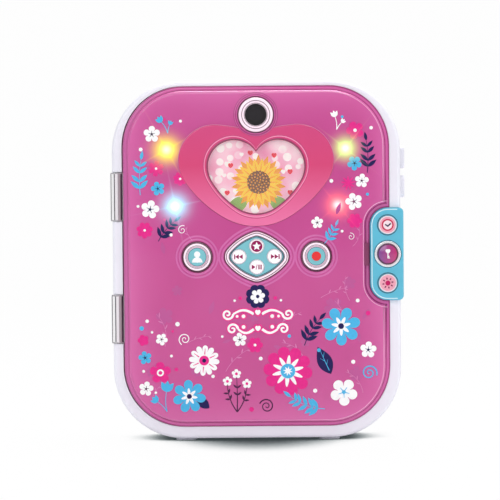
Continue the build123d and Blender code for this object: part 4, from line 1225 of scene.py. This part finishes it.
class DIARY_OT_buttons(Piece):
    """Finish the keypad and its buttons, with a plain sign on each"""

    bl_idname = "diary.buttons"
    bl_label = "Buttons"

    def build(self, colours, sizes):
        teal = moulded_plastic("teal_abs", colours.teal, roughness=0.3, coat=0.3)
        dress(teal, "keypad_plate", *ROUND_BUTTONS)
        self.outline_rings()
        # White keys with a painted glow, and a slight pink cast painted in for the light from the
        # door round them.
        key = moulded_plastic("key_abs_painted_glow", "#FFF6FB", roughness=0.25, coat=0.4, glow=0.14, shift=0.01)
        dress(key, *KEYS)
        magenta = printed_ink("magenta_sign", "#960A54")
        white = printed_ink("white_sign", "#FFFFFF", 0.01)
        # The red dot has a painted glow that brightens it.
        red = moulded_plastic("red_dot_painted_glow", "#DC1C1E", roughness=0.3, coat=0.2, glow=0.15)
        sign("previous_button", "previous_sign", self.skip_sign(-1), magenta)
        sign("next_button", "next_sign", self.skip_sign(1), magenta)
        sign("play_button", "play_sign", self.play_sign(), magenta)
        sign("star_button", "star_disc", [circle(0, 0, 3.55)], magenta)
        sign("star_button", "star_sign", [star(0, 0, 2.75, 5, 0.48)], white, 0.12)
        sign("record_button", "record_dot", [circle(0, 0, 2.9, 48)], red, 0.35, 0.15)
        sign("portrait_button", "portrait_sign", self.portrait_sign(), white, 0.1)

    def outline_rings(self):
        """The clefts that outline the pearl rings and the teal faces, darkened with painted shade.
        """
        plum = moulded_plastic("plum_cleft_shade", "#43102F", roughness=0.4)
        slate_shade = moulded_plastic("teal_cleft_shade", "#2A5F69", roughness=0.35)
        blush = moulded_plastic("blush_lip", "#F6C9DE", roughness=0.25, coat=0.5)
        depth = face_depth("button_bezels")
        for node in ROUND_BUTTONS:
            spot = spot_of(node)
            face = face_depth(node)
            ring(f"{node}_outer_cleft", spot, 9.05, 8.5, depth, plum, *ON_TRIM)
            ring(f"{node}_inner_cleft", spot, 7.25, 6.95, depth, plum, *ON_TRIM)
            ring(f"{node}_lip", spot, 6.4, 5.85, face, blush, node, "teal_button", 0.25)
            ring(f"{node}_face_cleft", spot, 5.8, 5.5, face, slate_shade, node, "teal_button")
        for name, node, reach, tint in (
            ("keypad_outer_cleft", "keypad_bezel", -0.25, plum),
            ("keypad_inner_cleft", "keypad_plate", -0.35, slate_shade),
            ("keypad_lip_cleft", "keypad_bezel", -1.9, plum),
        ):
            raised_line(name, around(node, reach), face_depth(node), 0.46, 0.04, tint, *ON_TRIM)
        # Painted shade in the gap round each key.
        for node in KEYS:
            depth = face_depth(node)
            ring(f"{node}_edge", spot_of(node), 4.35, 4.2, depth, slate_shade, node, "white_button")

    def triangle(self, x, way, length=2.35):
        half = 1.5
        return [(x, half), (x, -half), (x + way * length, 0)]

    def bar(self, x, width=0.75, half=1.5, lean=0.0):
        right = x + width
        return [(x + lean, half), (x - lean, -half), (right - lean, -half), (right + lean, half)]

    def skip_sign(self, way):
        left = -3.1 if way < 0 else 2.5
        return [self.triangle(-way * 2.3, way), self.triangle(way * 0.1, way), self.bar(left)]

    def play_sign(self):
        bars = [self.bar(-0.4, 0.45, 1.6, 0.4), self.bar(0.95, 0.8), self.bar(2.25, 0.8)]
        return [self.triangle(-3.2, 1, 2.4), *bars]

    def portrait_sign(self):
        """A plain head and shoulders."""
        shoulders = polar(0, -3.4, lambda angle: 3.3 if math.sin(angle) > -0.02 else 0.3, 60)
        return [circle(0, 1.6, 1.95, 40), [(x, max(z, -3.6)) for x, z in shoulders]]


class DIARY_OT_lock(Piece):
    """Finish the lock panel, its ring, its domed key button and its signs"""

    bl_idname = "diary.lock"
    bl_label = "Lock panel"

    def build(self, colours, sizes):
        panel = moulded_plastic("cyan_abs", colours.lock, roughness=0.3, coat=0.25, shift=0.015)
        dress(panel, "lock_panel")
        # Vacuum-plated chrome on ABS: pale and bright, with broad soft marks.
        dress(metal("chrome_plate", "#FAF6FA", 0.22, 2.5), "lock_ring")
        pale = moulded_plastic("blush_abs", "#F3A6BA", roughness=0.3, coat=0.4)
        dress(pale, "clock_button", "light_button")
        left, right = (corner[0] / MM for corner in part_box("key_button"))
        # Painted shade: the dome is darker and more violet on its left, and a brighter magenta on
        # its right.
        plum = two_tone("plum_dome_painted_shade", "X", left + 2, right - 2, "#7A3690", "#C4186E", 0.8)
        dress(plum, "key_button")
        spot = spot_of("key_button")
        depth = face_depth("key_button")
        place = ("key_button", "purple_button")
        lathe("key_dome", spot, dome_profile(5.6, depth, 0.75), plum, *place)
        self.draw_key_sign()
        # Painted shade round the domed key button.
        dark = moulded_plastic("lock_cleft_shade", "#3C2436", roughness=0.4)
        ring("key_dome_shade", spot, 6.35, 5.75, depth, dark, *place)
        self.draw_rings(spot)
        self.draw_clock()
        self.draw_sun()
        self.draw_edge_highlight()

    def draw_rings(self, spot):
        """Painted shade in the moats round the buttons, and the white lips of the round ones."""
        lip = moulded_plastic("white_lip", "#FBEFF4", roughness=0.25, coat=0.5)
        slate_shade = moulded_plastic("cyan_cleft_shade", "#1B5064", roughness=0.35)
        face = face_depth("lock_panel")
        for node in ("clock_button", "light_button"):
            place = (face_depth(node), lip, node, "pink_button", 0.12)
            ring(f"{node}_lip", spot_of(node), 5.6, 5.0, *place)
            ring(f"{node}_moat", spot_of(node), 6.6, 6.1, face, slate_shade, *ON_LOCK)
        ring("lock_ring_moat", spot, 8.75, 8.4, face, slate_shade, *ON_LOCK)

    def draw_key_sign(self):
        """A small key that stands on its bit."""
        shaft = [(-0.3, 0.9), (-0.3, -2.7), (0.3, -2.7), (0.3, 0.9)]
        teeth = [
            [(0.28, low), (reach, low), (reach, high), (0.28, high)]
            for low, high, reach in ((-2.7, -2.1, 1.15), (-1.65, -1.15, 0.95))
        ]
        white = printed_ink("white_lock_sign", "#FFFFFF", 0.01)
        sign("key_button", "key_sign", [heart_at(0, 1.75, 1.35), shaft, *teeth], white, 0.84)

    def draw_clock(self):
        """A round clock with two hands."""
        crimson = printed_ink("crimson_sign", "#C92450")
        blush = moulded_plastic("clock_face", "#FDE6EC", roughness=0.3, coat=0.4)
        navy = printed_ink("dark_sign", "#2A1A44")
        hands = [[(0.3, -0.9), (-1.6, 0.4)], [(-0.2, -1.0), (2.0, 1.0)]]
        sign("clock_button", "clock_ring", [circle(0, 0, 3.75, 48)], crimson)
        sign("clock_button", "clock_face", [circle(0, 0, 2.85, 40)], blush, 0.12)
        hands = [stroke(hand, 0.9, 0.9) for hand in hands]
        sign("clock_button", "clock_hands", hands, navy, 0.18)

    def draw_sun(self):
        """A small sun with eight rays."""
        rose = printed_ink("rose_lock_sign", "#C4155F")
        plum = printed_ink("plum_sign", "#7A1448")
        angles = [FULL_TURN * number / 8 + 0.2 for number in range(8)]
        rays = [stroke(spoke(0, 0, 2.3, 3.5, angle), 0.9, 0.7) for angle in angles]
        sign("light_button", "sun_disc", [circle(0, 0, 1.6, 32)], rose, 0.08)
        sign("light_button", "sun_rays", rays, plum, 0.08)

    def draw_edge_highlight(self):
        """A painted highlight: a pale bead along the panel's edge towards the door."""
        left, right, bottom, top = edges_of("lock_panel")
        inset = 1.15
        corner = LOCK_CORNER - inset
        middle = left + inset + corner
        path = [
            (right - 4, top - inset),
            *arc(middle, top - inset - corner, corner, 90, 180, 12),
            *arc(middle, bottom + inset + corner, corner, 180, 270, 12),
            (right - 4, bottom + inset),
        ]
        pale = moulded_plastic("pale_bead_highlight", "#D9F3FA", roughness=0.25, coat=0.4)
        outline = stroke(path, 0.55, 1.0)
        inlay("lock_edge_highlight", [outline], face_depth("lock_panel"), 0.05, pale, *ON_LOCK)


# Hinges -----------------------------------------------------------------------------------------

CLIP_SPACING = 76.8
KNUCKLE_RADIUS = 3.7


class DIARY_OT_hinges(Piece):
    """Finish the clear hinge clips and add their moulded ribs, coloured with painted highlights and
    painted shade
    """

    bl_idname = "diary.hinges"
    bl_label = "Hinge clips"

    # Name, start, end, rise and colour of each rib, from the clip's left side. The colours are
    # painted highlights and painted shade.
    ribs = (
        ("edge", 0.12, 0.7, 0.08, "#5F5A63"),
        ("white", 0.85, 2.3, 0.2, "#FFFFFF"),
        ("groove", 2.4, 2.95, 0.05, "#6A646C"),
        ("pale", 3.05, 4.7, 0.2, "#F3EEF2"),
        ("shade", 4.8, 6.3, 0.12, "#A99DA3"),
        ("inner", 6.4, 7.2, 0.1, "#544E56"),
    )

    def build(self, colours, sizes):
        # Clear styrene, thick enough to look milky.
        milky = {"Transmission Weight": 0.6}
        dress(clear_plastic("clear_styrene", "#F4F2F5", 0.15, milky), "hinge_clips")
        for name, start, end, rise, tint in self.ribs:
            values = {"Transmission Weight": 0.08}
            material = clear_plastic(f"styrene_{name}", tint, 0.2, values)
            self.knuckle_rib(f"clip_rib_{name}", start, end, rise, material)

    def knuckle_rib(self, name, start, end, rise, material):
        """A rib on each clip's round knuckle, between two distances from its left side."""
        low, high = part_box("hinge_clips")
        left = low[0] / MM
        front = low[1] / MM
        clip_length = (high[2] - low[2]) / MM - CLIP_SPACING
        angles = [math.asin(place / KNUCKLE_RADIUS - 1) for place in (start, end)]
        section = []
        for reach, way in ((rise, 1), (-0.1, -1)):
            for step in range(7)[::way]:
                angle = angles[0] + (angles[1] - angles[0]) * step / 6
                radius = KNUCKLE_RADIUS + reach
                x = left + KNUCKLE_RADIUS + radius * math.sin(angle)
                section.append((x * MM, (front + KNUCKLE_RADIUS - radius * math.cos(angle)) * MM))
        shape = bmesh.new()
        for foot in (low[2] / MM, high[2] / MM - clip_length):
            rows = []
            for z in (foot + 0.8, foot + clip_length - 0.8):
                rows.append([shape.verts.new((x, y, z * MM)) for x, y in section])
                shape.faces.new(rows[-1])
            for index in range(len(section)):
                after = (index + 1) % len(section)
                shape.faces.new((rows[0][index], rows[0][after], rows[1][after], rows[1][index]))
        bmesh.ops.recalc_face_normals(shape, faces=shape.faces)
        finish_piece(name, shape, material, "door", "clear_plastic")


# Storage and inside -----------------------------------------------------------------------------


class DIARY_OT_storage(Piece):
    """Finish the inner panel, the storage tray, the note pad and the pen"""

    bl_idname = "diary.storage"
    bl_label = "Storage"

    def build(self, colours, sizes):
        blush = moulded_plastic("inner_abs", "#E79BC8", roughness=0.35, coat=0.1)
        dress(blush, "inner_panel", "storage_tray")
        # Paper: the edges of the sheets show as fine lines.
        paper = moulded_plastic("note_paper", "#F8F4EA", roughness=0.8)
        dress(ridged(paper, "Y", 0.3, 0.5), "note_pages")
        card = moulded_plastic("note_card", "#79C4D4", roughness=0.55, shift=0.02)
        dress(ridged(card, "DIAGONAL", 0.4, 0.08), "note_cover")
        barrel = moulded_plastic("pen_barrel_abs", "#8E4FB0", roughness=0.2, coat=0.6)
        dress(barrel, "pen_barrel")
        cap = moulded_plastic("pen_cap_abs", "#D9459A", roughness=0.25)
        dress(ridged(cap, "X", 1.2, 0.3), "pen_cap")
        self.decorate_cover()
        self.finish_pen()
        self.decorate_panel()

    def decorate_cover(self):
        """Rows of hearts and a pale label printed on the note pad's cover."""
        white = printed_ink("card_white_ink", "#FFFFFF", 0.01)
        rose = printed_ink("card_rose_ink", "#E0418F")
        x, z = spot_of("note_cover")
        width, height = size_of("note_cover")
        depth = face_depth("note_cover")
        label = rounded_rectangle(x, z, width * 0.5, height * 0.42, 5)
        inlay("cover_label", [label], depth, 0.05, white, *ON_CARD)
        inlay("cover_heart", [heart_at(x, z, 6.0)], depth, 0.12, rose, *ON_CARD)
        hearts = []
        for row in range(4):
            for column in range(10):
                spot_x = x + (column - 4.5 + 0.5 * (row % 2) - 0.25) * width / 10.8
                spot_z = z + (row - 1.5) * height / 4.4
                if abs(spot_x - x) > width * 0.29 or abs(spot_z - z) > height * 0.27:
                    hearts.append(heart_at(spot_x, spot_z, 1.5))
        inlay("cover_pattern", hearts, depth, 0.08, white, *ON_CARD)

    def finish_pen(self):
        """The pen's sprung clip with its stud."""
        chrome = metal("pen_clip_chrome", "#E4E2E8", 0.15)
        x, z = spot_of("pen_cap")
        depth = face_depth("pen_cap") + 0.25 * MM
        clip = rounded_rectangle(x + 2.5, z, 23, 2.6, 1.25)
        inlay("pen_clip", [clip], depth, 1.0, chrome, *ON_PEN, 0.25)
        stud = dome_profile(1.1, depth - 1.0 * MM, 0.5)
        lathe("pen_clip_stud", (x + 12, z), stud, chrome, *ON_PEN)

    def decorate_panel(self):
        """A raised bead round the tray and a row of small hearts under it."""
        pale = moulded_plastic("inner_bead", "#F6C6E0", roughness=0.3, coat=0.2)
        x, z = spot_of("storage_tray")
        width, height = size_of("storage_tray")
        depth = face_depth("inner_panel")

        def outline_at(grow):
            return rounded_rectangle(x, z, width + 2 * grow, height + 2 * grow, 6 + grow)

        raised_line("tray_bead", outline_at, depth, 0.9, 0.3, pale, *ON_PANEL)
        foot = edges_of("storage_tray")[2] - 5.6
        row = [heart_at(x - 30 + 12 * number, foot, 1.4) for number in range(6)]
        inlay("panel_hearts", row, depth, 0.1, pale, *ON_PANEL)


class DIARY_OT_inside(Piece):
    """Finish the electronics, the lock's works and the battery bay"""

    bl_idname = "diary.inside"
    bl_label = "Inside"

    def build(self, colours, sizes):
        dress(self.circuit_board(), "main_board", "side_board", "lock_board")
        # Epoxy packages: matt black with a fine grain.
        dress(moulded_plastic("chip_epoxy", "#1B1B1E", roughness=0.6), "board_chips")
        # Stamped and drawn sheet metal, with fine lines of the tool.
        dress(ridged(metal("switch_steel", "#B8B9BE", 0.35), "Y", 0.5, 0.2), "tact_switches")
        dress(metal("microphone_can", "#C6C3BA", 0.3), "microphone")
        # Clear epoxy that glows from within.
        led = moulded_plastic("led_epoxy", "#FFFBEF", roughness=0.15, coat=0.6, glow=0.5)
        dress(led, "light_leds")
        # Clear acrylic with a painted glow at its end, in the colour of the lamp behind it.
        dress(printed_ink("acrylic_pipe_painted_glow", "#F2F4F8", 0.02, painted_lamp_glows()), "light_pipes")
        dress(moulded_plastic("speaker_cone", "#2A2A2F", roughness=0.7), "speaker")
        # Orange polyimide film over copper conductors.
        film = moulded_plastic("polyimide_film", "#C96F1E", roughness=0.25, coat=0.5)
        dress(ridged(film, "X", 0.5, 0.3), "screen_flex")
        dress(moulded_plastic("acetal", "#F1F0EC", roughness=0.35), "latch_bolt")
        # Enamelled copper wire, wound in close turns.
        dress(ridged(metal("solenoid_winding", "#B87142", 0.35), "Z", 0.25, 0.4), "latch_solenoid")
        dress(moulded_plastic("lock_back_abs", colours.lock, roughness=0.35), "lock_back_plate")
        dress(moulded_plastic("battery_bay_abs", "#E4E3EE", roughness=0.4), "battery_box")
        dress(self.battery_foil(), "batteries")
        # The battery cover has ridges moulded across it for a thumb.
        cover = moulded_plastic("cover_abs", colours.shell, roughness=0.28, coat=0.2, shift=0.012)
        dress(ridged(cover, "Z", 3.0, 0.8), "battery_cover")

    def circuit_board(self):
        """Green solder mask over glass epoxy, with paler copper tracks under it."""
        finish = Finish("green_circuit_board", {"Roughness": 0.35, "Coat Weight": 0.3})
        quarter_turn = {"Rotation": (math.pi / 2, 0, 0)}
        upright = finish.add("Mapping", quarter_turn, {"Vector": finish.place})
        tracks = {
            "Color1": linear("#1C6A3D"),
            "Color2": linear("#18613A"),
            "Mortar": linear("#3E9A5C"),
            "Scale": 1 / (8 * MM),
            "Mortar Size": 0.025,
            "Brick Width": 0.9,
            "Row Height": 0.22,
        }
        join(finish.shader, {"Base Color": finish.add("TexBrick", tracks, {"Vector": upright})})
        return finish.grain(0.8, 0.1)

    def battery_foil(self):
        """Shrunk foil sleeves: a dark body with a copper shoulder at one end."""
        finish = Finish("battery_sleeve", {"Metallic": 0.6, "Roughness": 0.3})
        low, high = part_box("batteries")
        stops = ((0, "#33363F"), (0.74, "#C27A4A"))
        finish.tone_along("Z", low[2], high[2], stops, "CONSTANT")
        return finish.grain(2.0, 0.1)

# Flowers printed on the door --------------------------------------------------------------------


class Print:
    """The shapes of a many-coloured print, kept by ink and by layer. Side -1 mirrors them."""

    def __init__(self):
        self.shapes = defaultdict(list)
        self.side = 1

    def add(self, ink, layer, *outlines):
        for outline in outlines:
            self.shapes[(ink, layer)].append([(self.side * x, z) for x, z in outline])

    def simple_flower(self, x, z, radius, ink, heart_ink, turn=0.0, petals=5):
        self.add(ink, 1, round_flower(x, z, radius, petals, turn))
        for number in range(petals):
            line = spoke(x, z, 0, 0.42 * radius, turn + FULL_TURN * number / petals)
            self.add(heart_ink, 2, stroke(line, 0.09 * radius, 0.4))
        self.add(heart_ink, 3, circle(x, z, 0.14 * radius, 16))

    def sprig(self, x, z, length, angle, bend, pairs, leaf_length, ink, leaf_width=0.36):
        """A stem with leaves in pairs and one at its tip."""
        stem = curved_line(x, z, length, angle, bend)
        self.add(ink, 1, stroke(stem, 0.55, 0.5))
        for number in range(pairs):
            place = 2 + int((len(stem) - 4) * (number + 0.5) / pairs)
            turned = angle + bend * place / len(stem)
            size = leaf_length * (1 - 0.35 * number / pairs)
            for side in (1, -1):
                self.add(ink, 1, leaf(*stem[place], size, size * leaf_width, turned + side * 48))
        size = leaf_length * 0.8
        self.add(ink, 1, leaf(*stem[-1], size, size * leaf_width, angle + bend))

    def bell_sprig(self, x, z, length, angle, ink, size):
        """A forked stem with a fan-shaped bell at each end."""
        for turn, reach in ((26, 1.0), (-22, 0.68)):
            stem = curved_line(x, z, length * reach, angle + turn * 0.4, turn)
            self.add(ink, 1, stroke(stem, 0.6, 0.6))
            length_of_leaf = size * reach
            for fan in (-32, 0, 32):
                heading = angle + turn * 1.2 + fan
                self.add(ink, 1, leaf(*stem[-1], length_of_leaf, length_of_leaf * 0.5, heading))

    def bunch(self, x, z, height, ink, bud_ink):
        """Three bowed stalks from one foot, with small leaves and a round bud at each tip."""
        for angle, bend, share in ((128, -40, 0.8), (92, -6, 1.0), (54, 40, 0.86)):
            stalk = curved_line(x, z, height * share, angle, bend)
            self.add(ink, 1, stroke(stalk, 0.75, 0.5))
            for place in (7, 10):
                for turn in (-50, 50):
                    self.add(ink, 1, leaf(*stalk[place], 3.4, 1.2, angle + turn))
            self.add(bud_ink, 2, round_flower(*stalk[-1], 3.0, 5, 0.3, 0.5))
            self.add("rose", 3, circle(*stalk[-1], 0.9, 16))

    def curl(self, x, z, radius, ink, angle, way=1, turns=1.7, width=0.7):
        self.add(ink, 1, stroke(spiral_line(x, z, radius, turns, angle, way), width, 0.7))

    def dots(self, ink, *places):
        for x, z, radius in places:
            self.add(ink, 1, circle(x, z, radius, 18))


class DIARY_OT_print(Piece):
    """Print flowers, leaves and dots on the door in four inks"""

    bl_idname = "diary.print"
    bl_label = "Printed flowers"

    def build(self, colours, sizes):
        art = Print()
        self.left_garland(art)
        self.right_garland(art)
        self.meadow(art)
        self.flourish(art)
        lights = painted_lamp_glows()
        # Sky, navy and rose inks carry the painted glow of the lamps.
        inks = {
            "sky": printed_ink("sky_ink", colours.sky, 0.04, lights),
            "navy": printed_ink("navy_ink", colours.navy, 0.04, lights),
            "rose": printed_ink("rose_ink", colours.rose, 0.04, lights),
            "white": printed_ink("white_ink", colours.white, 0.01),
            "plum": printed_ink("plum_ink", "#4E1748"),
        }
        for (ink, layer), outlines in art.shapes.items():
            thickness = layer * sizes.ink / MM
            inlay(f"print_{ink}_{layer}", outlines, panel_depth(), thickness, inks[ink], *ON_DOOR)

    def left_garland(self, art):
        art.simple_flower(-65, 193, 5.2, "white", "navy", 0.3)
        art.bell_sprig(-55, 193.5, 8, 96, "sky", 4.4)
        art.sprig(-72.5, 155, 22, 96, -16, 4, 7.4, "sky")
        art.add("rose", 1, notched_flower(-62.5, 171.5, 5.2, 6, 0.4))
        art.simple_flower(-61.5, 159, 4.4, "sky", "navy", 0.6)
        art.add("rose", 1, scalloped(-47.5, 165, 4.4, 7, 0.28, 0.2))
        art.simple_flower(-66.5, 146, 5.8, "white", "navy", 0.1)
        art.sprig(-61.5, 126, 16, 62, -24, 4, 6.8, "navy")
        art.add("rose", 1, scalloped(-70, 133, 5.2, 7, 0.28, 0.2))
        for spot in ((-62.5, 171.5), (-47.5, 165), (-70, 133)):
            art.add("white", 2, circle(*spot, 0.8, 12))
        art.curl(-46.5, 133, 2.9, "white", 60, 1, 1.4, 0.45)
        art.dots("white", (-72, 183.5, 1.2), (-47, 201, 0.9), (-53.5, 130, 1.0), (-74, 148, 0.9))
        art.dots("rose", (-57, 202, 0.8), (-57.5, 139.5, 0.8))

    def right_garland(self, art):
        art.add("rose", 1, round_flower(62, 194.5, 5.6, 5, 0.7, 0.55))
        art.add("white", 2, circle(62, 194.5, 1.1, 12))
        art.bell_sprig(50.5, 195, 8, 74, "white", 4.2)
        art.sprig(69.5, 168, 20, 84, 16, 4, 7.0, "navy")
        art.simple_flower(61.5, 174, 4.6, "sky", "navy", 0.9)
        art.simple_flower(66, 163, 4.4, "white", "plum", 0.2)
        art.add("rose", 1, pointed_flower(57.5, 161.5, 4.6, 9, 0.2))
        art.simple_flower(61, 150, 5.4, "white", "navy", 0.6)
        art.sprig(42.5, 124, 13, 50, 16, 3, 5.6, "sky")
        art.add("rose", 1, scalloped(61.5, 138, 4.8, 6, 0.3))
        art.simple_flower(38, 137, 3.8, "white", "plum", 0.4)
        art.curl(59, 128, 2.4, "white", 100, -1, 1.3, 0.4)
        art.dots("white", (72, 196, 1.1), (47, 163, 1.2), (53.5, 131.5, 0.9))
        art.dots("sky", (69.5, 154.5, 1.0), (54, 203, 0.9))

    def target_flower(self, art, x, z, ink, inner_ink, radius):
        """A big daisy with a round heart, and a line down each second petal."""
        art.add(ink, 1, round_flower(x, z, radius, 12, 0.1, 0.6))
        for number in range(6):
            angle = 0.1 + FULL_TURN * (number + 0.5) / 6
            line = spoke(x, z, radius * 0.4, radius * 0.8, angle)
            art.add(inner_ink, 2, stroke(line, 0.7, 0.4))
        art.add(inner_ink, 3, circle(x, z, radius * 0.32, 36))
        art.add("navy", 4, circle(x, z, radius * 0.13, 16))

    def broad_flower(self, art, x, z, radius, turn):
        """A big flower with broad round petals, a small white one in it and a navy heart."""
        art.add("sky", 1, round_flower(x, z, radius, 7, turn, 0.4))
        art.add("white", 2, pointed_flower(x, z, radius * 0.5, 7, turn))
        art.add("navy", 3, circle(x, z, radius * 0.15, 18))

    def meadow(self, art):
        # Right of the middle. The print is drawn for the left, and mirrored.
        art.side = -1
        self.broad_flower(art, -52.5, 72, 12.2, 0.2)
        art.sprig(-29.5, 60, 19, 108, 26, 4, 7.6, "navy")
        art.simple_flower(-69.5, 57, 5.2, "white", "navy", 0.4)
        art.curl(-70, 42.5, 5.0, "sky", 200, -1, 1.8, 0.9)
        art.add("navy", 1, leaf(-46, 42, 19, 9.4, 64))
        art.add("sky", 2, stroke(curved_line(-45, 44.2, 14, 64, 4), 0.5, 0.4))
        for reach, way in ((4, 1), (6.5, -1), (9, 1)):
            foot = out_from(-45, 44.2, reach, math.radians(65))
            art.add("sky", 2, stroke(curved_line(*foot, 3.4, 65 + way * 36, 0, 4), 0.35, 0.4))
        art.simple_flower(-54, 30.5, 8.6, "white", "sky", 0.9)
        art.sprig(-42, 20, 23, 4, 34, 5, 7.6, "sky")
        middle = (-19, 44)
        art.add("rose", 1, round_flower(*middle, 15.4, 10, 0.1, 0.72))
        art.add("white", 2, pointed_flower(*middle, 10.0, 10, 0.4))
        art.add("sky", 3, circle(*middle, 4.6, 36))
        art.add("white", 4, star(*middle, 3.2, 8, 0.45, 0.2))
        # Middle.
        art.add("rose", 1, scalloped(1.5, 60.5, 5.0, 6, 0.3))
        art.add("white", 2, circle(1.5, 60.5, 0.9, 12))
        art.simple_flower(11, 64, 4.4, "white", "plum", 0.2)
        art.bunch(13, 18.5, 24, "plum", "white")
        art.curl(-5.5, 22, 4.6, "plum", 20, 1, 1.9, 0.8)
        art.dots("white", (-2, 52, 1.2), (-36, 31.5, 1.3), (28, 41, 1.1))
        # Left of the middle.
        self.target_flower(art, 33.5, 51, "white", "rose", 9.6)
        self.broad_flower(art, 43, 28.5, 10.4, 0.6)
        art.add("navy", 1, leaf(30.5, 21, 11, 6.0, 40))
        art.curl(45.5, 64.5, 3.9, "white", 300, 1, 1.7, 0.6)
        art.bell_sprig(57, 19, 12.5, 66, "sky", 7.2)
        art.add("rose", 1, round_flower(61, 43.5, 6.8, 5, 0.3, 0.5))
        art.add("white", 2, circle(61, 43.5, 2.2, 24))
        art.add("rose", 3, circle(61, 43.5, 1.2, 20))
        art.simple_flower(70, 33.5, 4.6, "white", "plum", 0.5)
        art.simple_flower(70.5, 53, 4.2, "sky", "navy", 0.1)
        art.simple_flower(60, 64.5, 3.8, "white", "plum", 0.8)
        art.add("rose", 1, scalloped(71.5, 64, 3.6, 5, 0.3))
        art.dots("white", (50, 74, 1.4), (69, 76, 1.1), (66, 69, 0.8), (54, 54, 0.9), (64, 31, 0.8))
        art.dots("white", (-63, 88, 1.2), (-60, 49.5, 1.3), (22, 66, 0.8), (71.5, 44.5, 0.9))
        art.dots("sky", (72.5, 71.5, 1.4), (-38.5, 57, 1.2), (-20, 66, 1.1))
        art.dots("rose", (53, 69.5, 0.8), (-69.5, 80, 1.5), (4, 20, 1.5), (51, 45.5, 1.2))
        art.side = 1

    def flourish(self, art):
        """Plain scrollwork in the middle, under the keypad."""
        x = 0.4
        art.add("navy", 1, scalloped(x, 91, 7.6, 8, 0.16, 0.4))
        art.add("white", 2, round_flower(x, 91, 4.6, 6, 0.2, 0.5))
        art.add("navy", 3, circle(x, 91, 1.1, 16))
        for side in (-1, 1):

            def mirrored(points, side=side):
                return [(x - side * (px - x), pz) for px, pz in points]

            for height, reach, way in ((80, 19, -1), (70.5, 16, 1)):
                # Each vine runs out from the middle, bows a little and ends in a curl.
                curl = spiral_line(x - reach, height, 3.6, 1.4, 0, way, 34)
                start_x, start_z = curl[0]
                vine = []
                for step in range(25):
                    share = step / 24
                    bow = way * 2.4 * math.sin(math.pi * share)
                    place_x = x - 2.6 + (start_x - x + 2.6) * share
                    vine.append((place_x, height + (start_z - height) * share - bow))
                for ink, layer, width in (("rose", 1, 3.3), ("white", 2, 1.7)):
                    art.add(ink, layer, stroke(mirrored(vine), width, 0.7))
                    art.add(ink, layer, stroke(mirrored(curl), width * 0.85, 0.7))
                for place, size in ((9, 1.2), (13, 0.9)):
                    drop = (x + side * place, height + way * 1.4)
                    art.add("rose", 1, circle(*drop, size + 0.8, 20))
                    art.add("white", 2, circle(*drop, size, 20))
            art.add("rose", 1, circle(x + side * 11, 90, 1.2, 18))
            art.add("white", 1, circle(x + side * 14.5, 88.5, 0.8, 18))
        for height in (81, 71):
            art.add("rose", 3, heart_at(x, height, 2.6))
            art.add("white", 4, heart_at(x, height, 1.6))


# The add-on -------------------------------------------------------------------------------------

OPERATORS = (
    DIARY_OT_stage,
    DIARY_OT_case,
    DIARY_OT_door,
    DIARY_OT_heart,
    DIARY_OT_screen,
    DIARY_OT_lens,
    DIARY_OT_buttons,
    DIARY_OT_lock,
    DIARY_OT_hinges,
    DIARY_OT_storage,
    DIARY_OT_inside,
    DIARY_OT_print,
)


class DIARY_PT_panel(bpy.types.Panel):
    """The diary's pieces, sizes and colours"""

    bl_idname = "DIARY_PT_panel"
    bl_label = "Electronic Diary"
    bl_space_type = "VIEW_3D"
    bl_region_type = "UI"
    bl_category = "Diary"

    def draw(self, context):
        layout = self.layout
        for group in (context.scene.diary_sizes, context.scene.diary_colours):
            column = layout.column()
            for name in group.bl_rna.properties.keys():
                if name not in ("rna_type", "name"):
                    column.prop(group, name)
        for operator in OPERATORS:
            layout.operator(operator.bl_idname)


CLASSES = (DiaryColours, DiarySizes, *OPERATORS, DIARY_PT_panel)


def register():
    for cls in CLASSES:
        bpy.utils.register_class(cls)
    bpy.types.Scene.diary_colours = bpy.props.PointerProperty(type=DiaryColours)
    bpy.types.Scene.diary_sizes = bpy.props.PointerProperty(type=DiarySizes)


def unregister():
    del bpy.types.Scene.diary_sizes
    del bpy.types.Scene.diary_colours
    for cls in reversed(CLASSES):
        bpy.utils.unregister_class(cls)


def main():
    register()
    for operator in OPERATORS:
        getattr(bpy.ops.diary, operator.bl_idname.split(".")[1])()


if __name__ == "__main__":
    main()
